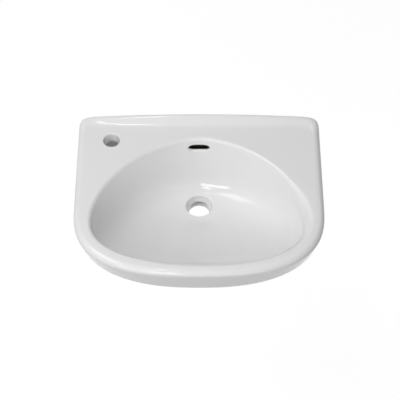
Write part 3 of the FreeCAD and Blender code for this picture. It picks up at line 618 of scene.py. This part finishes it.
def slot_place(turn, outward):
    """A point of the slot's outline, widened by an amount, as x and z."""
    radius = oval(turn, SLOT_HALF_WIDTH, SLOT_HALF_HEIGHT, SLOT_SQUARENESS)
    x, z = radius * np.cos(turn), radius * np.sin(turn)
    nx = np.sign(x) * np.abs(x / SLOT_HALF_WIDTH) ** (SLOT_SQUARENESS - 1) / SLOT_HALF_WIDTH
    nz = np.sign(z) * np.abs(z / SLOT_HALF_HEIGHT) ** (SLOT_SQUARENESS - 1) / SLOT_HALF_HEIGHT
    size = np.hypot(nx, nz)
    return x + outward * nx / size, SLOT_MIDDLE + z + outward * nz / size


def edge_round(turn, at_sill=SILL_ROUND):
    """The edge's radius, small at the slot's top and large at its sill."""
    down = 0.5 - 0.5 * np.sin(turn)
    return TOP_ROUND + (at_sill - TOP_ROUND) * down ** 2


slot_border = open_block(
    rows_named("bowl"), lambda x, y, z: y > -130 and abs(x) < SLOT_HALF_WIDTH + 5
    and -SLOT_HALF_HEIGHT - SILL_ROUND - 2 < z - SLOT_MIDDLE < SLOT_HALF_HEIGHT + 3)
slot_turns = even_turns(slot_border, lambda p: p[0] / SLOT_HALF_WIDTH,
                        lambda p: (p[2] - SLOT_MIDDLE + 3) / SLOT_HALF_HEIGHT)
target_x, target_z = slot_place(slot_turns, edge_round(slot_turns) + 0.6)
previous = slot_border
start = np.array([points[n] for n in slot_border])
for share in (0.3, 0.6, 1.0):
    x = start[:, 0] + (target_x - start[:, 0]) * share
    z = start[:, 2] + (target_z - start[:, 2]) * share
    loop = add_loop([(a, bowl_wall(a, b), b) for a, b in zip(x, z)])
    bridge(previous, loop)
    previous = loop
for degrees in (0, 15, 30, 45, 60, 75, 90):
    turn = math.radians(degrees)
    x, z = slot_place(slot_turns, edge_round(slot_turns) * (1 - math.sin(turn)))
    sink = edge_round(slot_turns, SILL_DEPTH) * (1 - math.cos(turn))
    loop = add_loop([(a, bowl_wall(a, b) + s, b) for a, b, s in zip(x, z, sink)])
    bridge(previous, loop)
    previous = loop

# %% The duct down to the waste hole
def duct_loop(turns, y, z, tilt, half_width, half_gap):
    """A section of the duct: tilt is the direction of its second axis in the side view."""
    radius = oval(turns, half_width, half_gap, SLOT_SQUARENESS)
    second = radius * np.sin(turns)
    return np.stack([radius * np.cos(turns), y + second * math.cos(tilt),
                     z + second * math.sin(tilt)], axis=1)


def run_duct(previous, turns, sections):
    """Carry the duct on through sections of y, z, tilt in degrees, half width and half gap."""
    for y, z, tilt, half_width, half_gap in sections:
        loop = add_loop(duct_loop(turns, y, z, math.radians(tilt), half_width, half_gap))
        bridge(previous, loop)
        previous = loop
    return previous


duct_top = run_duct(previous, slot_turns, [
    (-57.5, 43, 84, SLOT_HALF_WIDTH, 8), (-54, 41, 68, 23, 9.5), (-49.5, 35, 50, 22, 11.5),
    (-48, 26, 36, 21, 10), (-48, 10, 16, 20, 7.3)])

WINDOW_HALF_WIDTH = 15
WINDOW_HALF_HEIGHT = 3.6
WINDOW_MIDDLE = boss_bottom + 11


def hole_depth(x, z):
    return math.sqrt(bore_radius(z) ** 2 - x * x) - WASTE_FROM_WALL


window_border = open_block(
    rows_named("hole"), lambda x, y, z: y > -WASTE_FROM_WALL and abs(x) < WINDOW_HALF_WIDTH + 1
    and abs(z - WINDOW_MIDDLE) < WINDOW_HALF_HEIGHT + 0.5)
window_turns = even_turns(window_border, lambda p: p[0] / WINDOW_HALF_WIDTH,
                          lambda p: (p[2] - WINDOW_MIDDLE) / WINDOW_HALF_HEIGHT)
previous = window_border
section = duct_loop(window_turns, 0, WINDOW_MIDDLE, math.radians(90), WINDOW_HALF_WIDTH,
                    WINDOW_HALF_HEIGHT)
for widen, sink in ((0.5, 0), (0.1, 0.15), (0, 0.7)):
    wide = section[:, 0] * (1 + widen / WINDOW_HALF_WIDTH)
    high = WINDOW_MIDDLE + (section[:, 2] - WINDOW_MIDDLE) * (1 + widen / WINDOW_HALF_HEIGHT)
    loop = add_loop([(x, hole_depth(x, z) + sink, z) for x, z in zip(wide, high)])
    bridge(previous, loop)
    previous = loop
duct_foot = run_duct(previous, window_turns, [
    (-115, WINDOW_MIDDLE, 90, 15, 3.8), (-101, -73.5, 102, 15, 4.4), (-93, -68, 135, 15, 5),
    (-83, -57, 147, 15, 5), (-68, -33, 150, 17, 5), (-53, -6, 156, 20, 5)])
join(duct_top, duct_foot)

# %% [markdown]
# ## The skin as a mesh
#
# The net is closed and nearly all quads, so one level of subdivision gives a smooth skin. The
# normals are made to point outwards, and the mesh is checked for open edges. Some places are
# wiped clean before firing, such as the edge that stands on the kiln shelf. They are known by
# their rings and heights here, so each point takes a value with it into the mesh.

# %% Places without glaze
# The face ground flat to bear on the wall is a finish here; its 0.4 mm step is in the CAD only.
FACE_INSET, FACE_FOOT, FACE_TOP = 30, -28, 62


def bare_places():
    """1 where the clay stays bare: the back, the skirt's edge, the holes' far ends, the duct.
    The second list is 1 inside the duct, where the bare clay gets painted shade: it is painted
    nearly black for the duct's depth."""
    x, y, z = np.array(points).T
    row = np.full(len(points), -1)
    row[:GRID.size] = np.arange(GRID.size) // len(STATIONS)
    added = row < 0
    back = (y > -3) & (np.abs(x) < WIDTH / 2 - FACE_INSET) & (z > FACE_FOOT) & (z < FACE_TOP)
    fixing = (y > -BACK_THICK - 3) & (np.abs(z) < SEAT_RADIUS) & added
    foot = np.isin(row, rows_named("edge")[3:])
    tap = (np.hypot(x - TAP_PLACE[0], y - TAP_PLACE[1]) < TAP_RADIUS + 8) & added
    tap &= z < DECK_RISE - TAP_WALL + 1
    waste = np.isin(row, rows_named("boss_face", "hole_edge"))
    duct = (y > -57.9) & (np.abs(x) < SLOT_HALF_WIDTH + 1) & (z < SLOT_MIDDLE + 9)
    duct |= (y > -104) & (np.abs(x) < WINDOW_HALF_WIDTH + 6) & (z < 0)
    duct &= added & (y < -38)
    return (back | fixing | foot | tap | waste | duct).astype(float), duct.astype(float)


# The second mask marks the inside of the duct, where the clay is painted dark as painted shade.
BARE, DUCT_SHADE_MASK = bare_places()
print("bare:", int(BARE.sum()), "of", len(BARE), "points,", int(DUCT_SHADE_MASK.sum()), "of them in the duct")

# %% Mesh
def make_skin():
    faces = []
    stations = len(STATIONS)
    for r in range(len(rings)):
        below = (r + 1) % len(rings)
        for c in range(stations):
            beside = (c + 1) % stations
            if keep[r, c]:
                faces.append((GRID[r, c], GRID[r, beside], GRID[below, beside], GRID[below, c]))
    bm = bmesh.new()
    layers = [bm.verts.layers.float.new(name) for name in ("bare", "duct_shade")]
    verts = [bm.verts.new(Vector(p) * MM) for p in points]
    for vert, bare, duct_shade in zip(verts, BARE, DUCT_SHADE_MASK):
        vert[layers[0]], vert[layers[1]] = bare, duct_shade
    for face in faces + extra_faces:
        corners = list(dict.fromkeys(int(n) for n in face))
        if len(corners) > 2:
            bm.faces.new([verts[n] for n in corners])
    bmesh.ops.delete(bm, geom=[v for v in bm.verts if not v.link_faces], context="VERTS")
    bmesh.ops.recalc_face_normals(bm, faces=bm.faces)
    open_edges = sum(1 for e in bm.edges if len(e.link_faces) != 2)
    volume = bm.calc_volume()
    if volume < 0:
        bmesh.ops.reverse_faces(bm, faces=bm.faces)
    print("skin:", len(bm.faces), "faces,", open_edges, "open edges, volume",
          round(abs(volume) * 1000, 2), "litres")
    mesh = bpy.data.meshes.new("basin_skin")
    bm.to_mesh(mesh)
    bm.free()
    mesh.shade_smooth()
    return mesh


basin = bpy.data.objects.new("basin_skin", make_skin())
bpy.context.scene.collection.objects.link(basin)
smoother = basin.modifiers.new("smooth", "SUBSURF")
smoother.levels = 1
smoother.render_levels = 1

# %% [markdown]
# ## What the surface needs to know
#
# A glaze melts and runs in the kiln: it thins over sharp edges and gathers in hollows. Such facts
# belong to places on the casting, so they are written on the mesh as attributes, one value per
# point, and the materials only read them. A picture painted on a UV map would do it too, but an
# attribute follows the net and needs no unwrapping.

# %% Curvature, written on the skin
def bend_of(mesh):
    """How sharply the surface bends at each point: above 0 on edges, below 0 in hollows."""
    bm = bmesh.new()
    bm.from_mesh(mesh)
    bend = np.zeros(len(bm.verts))
    for vert in bm.verts:
        steps = [edge.other_vert(vert).co - vert.co for edge in vert.link_edges]
        bend[vert.index] = -sum(step.dot(vert.normal) / step.length_squared
                                for step in steps) * 2 / len(steps)
    pairs = np.array([[v.index for v in edge.verts] for edge in bm.edges])
    bm.free()
    for _ in range(3):
        total = np.zeros_like(bend)
        count = np.zeros_like(bend)
        for a, b in (pairs.T, pairs.T[::-1]):
            np.add.at(total, a, bend[b])
            np.add.at(count, a, 1)
        bend = 0.5 * bend + 0.5 * total / np.maximum(count, 1)
    return bend


def write_attribute(mesh, name, values):
    layer = mesh.attributes.new(name, "FLOAT", "POINT")
    layer.data.foreach_set("value", np.clip(values, 0, 1).astype(np.float32))
    print(name, "covers", round(float(np.mean(values > 0.5)) * 100, 1), "% of the points")


bend = bend_of(basin.data)
write_attribute(basin.data, "edge", (bend - 60) / 240)
write_attribute(basin.data, "hollow", (-bend - 25) / 120)

# %% [markdown]
# ## Effects that several finishes share
#
# Ceramic, zinc and nylon have some things in common: nothing is perfectly even, nothing is
# perfectly flat, edges wear first, and dust lies on what faces up. Each of these effects is one
# shader node group with named sockets. A material places the group and gives it its own colours
# and scales, so a change to the group reaches every finish.

# %% Helpers for node trees
def feed(tree, node, sockets):
    """Give each of a node's sockets a value, or link another node's output to it."""
    for name, value in sockets.items():
        if isinstance(value, bpy.types.NodeSocket):
            tree.links.new(value, node.inputs[name])
        else:
            node.inputs[name].default_value = value
    return node


def put(tree, kind, sockets=None, **settings):
    """A node with its settings. Each socket takes a value or another node's output."""
    node = tree.nodes.new("ShaderNode" + kind)
    for name, value in settings.items():
        setattr(node, name, value)
    return feed(tree, node, sockets or {})


def new_group(name, inputs, outputs):
    """A shader node group with its sockets, and the nodes for its two ends."""
    group = bpy.data.node_groups.new(name, "ShaderNodeTree")
    for label, start in inputs.items():
        kind = "NodeSocketColor" if isinstance(start, tuple) else "NodeSocketFloat"
        socket = group.interface.new_socket(label, in_out="INPUT", socket_type=kind)
        socket.default_value = start
    for label in outputs:
        kind = "NodeSocketColor" if label == "Colour" else "NodeSocketFloat"
        group.interface.new_socket(label, in_out="OUTPUT", socket_type=kind)
    return group, group.nodes.new("NodeGroupInput").outputs, group.nodes.new("NodeGroupOutput")


def place_group(tree, group, sockets):
    node = tree.nodes.new("ShaderNodeGroup")
    node.node_tree = group
    return feed(tree, node, sockets).outputs


def mix_colour(tree, share, first, second):
    """Two colours mixed. A Mix node keeps its colour sockets at places 6 and 7."""
    return put(tree, "Mix", {0: share, 6: first, 7: second}, data_type="RGBA").outputs[2]


def reach(tree, value, low, high, to_low=0.0, to_high=1.0):
    """A value moved from one range to another, held at the range's ends."""
    return put(tree, "MapRange", {"Value": value, "From Min": low, "From Max": high,
                                  "To Min": to_low, "To Max": to_high}).outputs[0]


def arithmetic(tree, operation, first, second):
    return put(tree, "Math", {0: first, 1: second}, operation=operation).outputs[0]


def noise(tree, scale, detail=2.0, where=None):
    where = where or put(tree, "TexCoord").outputs["Object"]
    return put(tree, "TexNoise", {"Vector": where, "Scale": scale, "Detail": detail}).outputs[0]


def show(group):
    print(group.name, "in:", [s.name for s in group.interface.items_tree if s.in_out == "INPUT"])


print("helpers ready")

# %% Uneven tone: a colour that drifts between two shades
uneven, given, result = new_group(
    "uneven_tone", {"Shade A": (1, 1, 1, 1), "Shade B": (1, 1, 1, 1), "Patches per metre": 10.0},
    ["Colour", "Mask"])
drift = reach(uneven, noise(uneven, given["Patches per metre"], 3.0), 0.35, 0.65)
uneven.links.new(mix_colour(uneven, drift, given["Shade A"], given["Shade B"]),
                 result.inputs["Colour"])
uneven.links.new(drift, result.inputs["Mask"])
show(uneven)

# %% Uneven surface: slow waves with a finer grain on them
relief, given, result = new_group(
    "surface_relief", {"Waves per metre": 20.0, "Wave height": 1.0, "Grains per metre": 800.0,
                       "Grain height": 0.1}, ["Height"])
waves = arithmetic(relief, "MULTIPLY", noise(relief, given["Waves per metre"], 1.0),
                   given["Wave height"])
grain = arithmetic(relief, "MULTIPLY", noise(relief, given["Grains per metre"], 2.0),
                   given["Grain height"])
relief.links.new(arithmetic(relief, "ADD", waves, grain), result.inputs["Height"])
show(relief)

# %% Edge wear: an edge mask, broken up, that moves a colour towards what lies under it
wear, given, result = new_group(
    "edge_wear", {"Colour": (1, 1, 1, 1), "Worn colour": (1, 1, 1, 1), "Edge": 0.0,
                  "Amount": 0.5, "Chips per metre": 150.0}, ["Colour", "Mask"])
broken = reach(wear, noise(wear, given["Chips per metre"], 3.0), 0.3, 0.7, 0.4, 1.0)
worn = arithmetic(wear, "MULTIPLY", arithmetic(wear, "MULTIPLY", given["Edge"], broken),
                  given["Amount"])
wear.links.new(mix_colour(wear, worn, given["Colour"], given["Worn colour"]),
               result.inputs["Colour"])
wear.links.new(worn, result.inputs["Mask"])
show(wear)

# %% Dust: a thin film on what faces up
dust, given, result = new_group(
    "settled_dust", {"Colour": (1, 1, 1, 1), "Dust colour": (0.5, 0.5, 0.5, 1), "Amount": 0.1,
                     "Roughness": 0.5}, ["Colour", "Roughness"])
normal = put(dust, "NewGeometry").outputs["Normal"]
facing = put(dust, "SeparateXYZ", {"Vector": normal}).outputs["Z"]
film = arithmetic(dust, "MULTIPLY", reach(dust, facing, 0.2, 1.0),
                  reach(dust, noise(dust, 35.0, 4.0), 0.3, 0.75))
film = arithmetic(dust, "MULTIPLY", film, given["Amount"])
dust.links.new(mix_colour(dust, film, given["Colour"], given["Dust colour"]),
               result.inputs["Colour"])
dust.links.new(arithmetic(dust, "ADD", given["Roughness"], film), result.inputs["Roughness"])
show(dust)

# %% [markdown]
# ## The glaze
#
# The real finish is a clay body under a layer of molten glass. So the shader is built the same
# way: a matt base in the clay's colours, and over it a sharp clear coat that is left out where the
# clay is bare. In hollows the glaze lies thicker and looks a little deeper, on edges it thins and
# the warm clay shows through, and everywhere it has the slow waves of something that once ran.

# %% Glazed casting
def new_material(name):
    material = bpy.data.materials.new(name)
    material.use_nodes = True
    tree = material.node_tree
    tree.nodes.clear()
    shader = put(tree, "BsdfPrincipled")
    tree.links.new(shader.outputs[0], put(tree, "OutputMaterial").inputs["Surface"])
    return material, tree, shader.inputs


def attribute(tree, name):
    return put(tree, "Attribute", attribute_name=name).outputs["Fac"]


def connect(tree, sockets, dusted, height, strength, distance):
    """What every finish here has: a colour, a roughness and a relief."""
    tree.links.new(dusted["Colour"], sockets["Base Color"])
    tree.links.new(dusted["Roughness"], sockets["Roughness"])
    bump = put(tree, "Bump", {"Height": height, "Strength": strength, "Distance": distance})
    tree.links.new(bump.outputs["Normal"], sockets["Normal"])


GLAZE = (0.890, 0.892, 0.888, 1)
GLAZE_DEEP = (0.875, 0.882, 0.882, 1)
CLAY = (0.70, 0.655, 0.585, 1)
# Painted shade: the bare clay inside the overflow duct is painted nearly black, standing in for the
# shade deep in the duct.
PAINTED_DUCT_SHADE = (0.10, 0.095, 0.085, 1)

glazed_casting, tree, sockets = new_material("glazed_casting")
bare = attribute(tree, "bare")
bare = reach(tree, arithmetic(tree, "ADD", bare, arithmetic(
    tree, "MULTIPLY", noise(tree, 90.0, 3.0), 0.3)), 0.45, 0.75)
tone = place_group(tree, uneven, {"Shade A": GLAZE, "Shade B": (0.883, 0.886, 0.884, 1),
                                  "Patches per metre": 9.0})["Colour"]
pooled = mix_colour(tree, arithmetic(tree, "MULTIPLY", attribute(tree, "hollow"), 0.5), tone,
                    GLAZE_DEEP)
thinned = place_group(tree, wear, {"Colour": pooled, "Worn colour": (0.85, 0.835, 0.805, 1),
                                   "Edge": attribute(tree, "edge"), "Amount": 0.35,
                                   "Chips per metre": 40.0})["Colour"]
clay = place_group(tree, uneven, {"Shade A": CLAY, "Shade B": (0.62, 0.57, 0.50, 1),
                                  "Patches per metre": 60.0})["Colour"]
# Painted shade: inside the duct the clay takes the nearly black colour, for the shade that falls
# there.
clay = mix_colour(tree, attribute(tree, "duct_shade"), clay, PAINTED_DUCT_SHADE)
coloured = mix_colour(tree, bare, thinned, clay)
dusted = place_group(tree, dust, {"Colour": coloured, "Dust colour": (0.66, 0.65, 0.63, 1),
                                  "Amount": 0.03, "Roughness": reach(tree, bare, 0, 1, 0.42, 0.85)})
tree.links.new(arithmetic(tree, "SUBTRACT", 1.0, bare), sockets["Coat Weight"])
sockets["Coat Roughness"].default_value = 0.03
sockets["Coat IOR"].default_value = 1.5
sockets["Specular IOR Level"].default_value = 0.05
height = place_group(tree, relief, {
    "Waves per metre": 26.0, "Wave height": 0.8, "Grains per metre": 420.0,
    "Grain height": reach(tree, bare, 0, 1, 0.004, 0.35)})["Height"]
connect(tree, sockets, dusted, height, 0.15, 0.0012)
basin.data.materials.append(glazed_casting)
print(glazed_casting.name, "has", len(tree.nodes), "nodes")

# %% [markdown]
# ## Finishes of the fixings
#
# The bolts, nuts and washers are zinc plated steel: a soft grey metal with cloudy patches and
# brighter rubbed edges. The plugs and bushes are moulded nylon, matt and a little grainy, and the
# caps are a smoother, glossier plastic. The CAD pieces are right in shape, so they only get these
# materials.

# %% Zinc plate
zinc_steel, tree, sockets = new_material("zinc_steel")
point = put(tree, "NewGeometry").outputs["Pointiness"]
patchy = place_group(tree, uneven, {"Shade A": (0.66, 0.67, 0.68, 1),
                                    "Shade B": (0.56, 0.58, 0.60, 1),
                                    "Patches per metre": 260.0})
rubbed = place_group(tree, wear, {"Colour": patchy["Colour"], "Worn colour": (0.80, 0.80, 0.79, 1),
                                  "Edge": reach(tree, point, 0.5, 0.56), "Amount": 0.8,
                                  "Chips per metre": 900.0})
dusted = place_group(tree, dust, {"Colour": rubbed["Colour"], "Dust colour": (0.45, 0.43, 0.40, 1),
                                  "Amount": 0.12,
                                  "Roughness": reach(tree, patchy["Mask"], 0, 1, 0.26, 0.38)})
sockets["Metallic"].default_value = 1.0
height = place_group(tree, relief, {"Waves per metre": 300.0, "Wave height": 0.3,
                                    "Grains per metre": 2600.0, "Grain height": 0.12})["Height"]
connect(tree, sockets, dusted, height, 0.2, 0.0002)
print(zinc_steel.name, "has", len(tree.nodes), "nodes")


# %% Moulded plastics
def moulded(name, shade_a, shade_b, rubbed_shade, roughness, grain_height, coat):
    """A moulded plastic: nearly even colour, pale rubbed edges and the mould's fine grain."""
    material, tree, sockets = new_material(name)
    point = put(tree, "NewGeometry").outputs["Pointiness"]
    tone = place_group(tree, uneven, {"Shade A": shade_a, "Shade B": shade_b,
                                      "Patches per metre": 120.0})
    rubbed = place_group(tree, wear, {"Colour": tone["Colour"], "Worn colour": rubbed_shade,
                                      "Edge": reach(tree, point, 0.5, 0.58), "Amount": 0.5,
                                      "Chips per metre": 500.0})
    dusted = place_group(tree, dust, {
        "Colour": rubbed["Colour"], "Dust colour": (0.55, 0.53, 0.50, 1), "Amount": 0.08,
        "Roughness": reach(tree, tone["Mask"], 0, 1, roughness, roughness + 0.08)})
    sockets["Coat Weight"].default_value = coat
    height = place_group(tree, relief, {"Waves per metre": 90.0, "Wave height": 0.2,
                                        "Grains per metre": 1800.0,
                                        "Grain height": grain_height})["Height"]
    connect(tree, sockets, dusted, height, 0.25, 0.0002)
    print(material.name, "has", len(tree.nodes), "nodes")
    return material


grey_nylon = moulded("grey_nylon", (0.45, 0.46, 0.47, 1), (0.41, 0.42, 0.43, 1),
                     (0.56, 0.56, 0.56, 1), 0.55, 0.5, 0.0)
white_nylon = moulded("white_nylon", (0.83, 0.83, 0.81, 1), (0.80, 0.80, 0.77, 1),
                      (0.86, 0.86, 0.85, 1), 0.50, 0.4, 0.0)
white_cap = moulded("white_cap", (0.84, 0.84, 0.83, 1), (0.82, 0.82, 0.81, 1),
                    (0.87, 0.87, 0.87, 1), 0.18, 0.05, 0.3)

# %% Put the finishes on the CAD pieces
FINISHES = {"hanger_bolt": zinc_steel, "washer": zinc_steel, "nut": zinc_steel,
            "wall_plug": grey_nylon, "fixing_bush": white_nylon, "cover_cap": white_cap}
for name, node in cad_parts.items():
    for kind, material in FINISHES.items():
        if name.startswith(kind):
            node.data.materials.clear()
            node.data.materials.append(material)
            print(name, "is", material.name)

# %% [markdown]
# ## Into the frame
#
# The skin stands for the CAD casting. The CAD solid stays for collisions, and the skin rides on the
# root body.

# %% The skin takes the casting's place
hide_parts("basin_body")
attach(basin, "root")
print(basin.name, "stands for basin_body")

# %% [markdown]
# ## Light, floor and background
#
# The light is a plain studio: soft from all round, stronger from above and from the left. The
# background is white without more light on the basin: the world and the floor look white only to
# camera, glossy and transmission rays. The basin hangs, so the floor lies well below it and its
# shadow there is wide and faint.

# %% World
UPPER_LIGHT = 0.395
LOWER_LIGHT = 0.14
LEFT_SHARE = 0.45


def white_to_eye(tree):
    """1 for the rays that look at something: camera, glossy and transmission rays."""
    path = put(tree, "LightPath").outputs
    looking = arithmetic(tree, "MAXIMUM", path["Is Camera Ray"], path["Is Glossy Ray"])
    return arithmetic(tree, "MAXIMUM", looking, path["Is Transmission Ray"])


world = bpy.data.worlds.new("studio")
bpy.context.scene.world = world
world.use_nodes = True
tree = world.node_tree
tree.nodes.clear()
direction = put(tree, "TexCoord").outputs["Generated"]
along = put(tree, "SeparateXYZ", {"Vector": direction}).outputs
soft = arithmetic(tree, "MULTIPLY", reach(tree, along[2], -0.6, 0.8, LOWER_LIGHT, UPPER_LIGHT),
                  reach(tree, along[0], -1, 1, 1 + LEFT_SHARE, 1 - LEFT_SHARE))
soft_light = put(tree, "Background", {"Color": (1, 1, 1, 1), "Strength": soft})
seen_light = put(tree, "Background", {"Color": (1, 1, 1, 1), "Strength": 1.0})
choice = put(tree, "MixShader", {0: white_to_eye(tree), 1: soft_light.outputs[0],
                                 2: seen_light.outputs[0]})
tree.links.new(choice.outputs[0], put(tree, "OutputWorld").inputs["Surface"])
print("world:", LOWER_LIGHT, "from below to", UPPER_LIGHT, "from above")

# %% [markdown]
# ## Lamps
#
# A glossy glaze shows its lamps, so each lamp's shape and place were chosen by what it does on the
# basin. The key, high on the left, models the bowl. A long low box and a small slanting one, at
# the front left, draw bars of light beside the waste hole. Two wide weak ones, low at the front
# and high behind, keep the skirt and the front of the bowl from going dark, and a small one nearly
# overhead is there for the bowl's rear left edge.

# %% Lamps
def softbox(name, azimuth, elevation, distance, width, height, energy, roll=0.0):
    """An area lamp round the basin: azimuth from the wall's direction, positive to the right."""
    target = Vector((0, -0.2, 0.05))
    lamp = bpy.data.lights.new(name, "AREA")
    lamp.shape = "RECTANGLE"
    lamp.size, lamp.size_y, lamp.energy = width, height, energy
    holder = bpy.data.objects.new(name, lamp)
    bpy.context.scene.collection.objects.link(holder)
    turn, rise = math.radians(azimuth), math.radians(elevation)
    holder.location = target + distance * Vector((
        math.sin(turn) * math.cos(rise), math.cos(turn) * math.cos(rise), math.sin(rise)))
    facing = (target - holder.location).to_track_quat("-Z", "Y")
    holder.rotation_euler = (facing @ Quaternion((0, 0, 1), math.radians(roll))).to_euler()
    holder.visible_camera = False
    print(name, "at", [round(c, 2) for c in holder.location], energy, "W")


softbox("key", -98, 60, 2.3, 1.2, 1.0, 12)
softbox("window_long", -160, 28, 2.3, 1.25, 0.38, 8.5)
softbox("window_slant", -168, 39, 2.3, 0.50, 0.20, 3, roll=-35)
softbox("fill_low", 176, 9, 2.2, 1.6, 0.4, 6)
softbox("back_fill", -15, 55, 2.4, 2.0, 2.0, 2.5)
softbox("corner_lamp", -140, 79, 2.3, 0.30, 0.30, 2.4)

# %% Floor
FLOOR_LEVEL = -0.80
bpy.ops.mesh.primitive_grid_add(x_subdivisions=4, y_subdivisions=4, size=8,
                                location=(0, -0.5, FLOOR_LEVEL))
floor = bpy.context.object
floor.name = "floor"
floor_paint = bpy.data.materials.new("floor_paint")
floor_paint.use_nodes = True
tree = floor_paint.node_tree
tree.nodes.clear()
matt = put(tree, "BsdfDiffuse", {"Color": (0.30, 0.30, 0.30, 1)})
dull = put(tree, "BsdfDiffuse", {"Color": (0.20, 0.20, 0.20, 1)})
glow = put(tree, "Emission", {"Color": (1, 1, 1, 1), "Strength": 0.84})
pale = put(tree, "AddShader", {0: matt.outputs[0], 1: glow.outputs[0]})
seen = put(tree, "MixShader", {0: white_to_eye(tree), 1: dull.outputs[0], 2: pale.outputs[0]})
clear = put(tree, "BsdfTransparent")
from_below = put(tree, "NewGeometry").outputs["Backfacing"]
both = put(tree, "MixShader", {0: from_below, 1: seen.outputs[0], 2: clear.outputs[0]})
tree.links.new(both.outputs[0], put(tree, "OutputMaterial").inputs["Surface"])
floor.data.materials.append(floor_paint)
print("floor at", FLOOR_LEVEL, "m")

# %% [markdown]
# ## The end
#
# The picture is left as the lamps made it, without a film look.

# %% Finish
bpy.context.scene.view_settings.view_transform = "Standard"
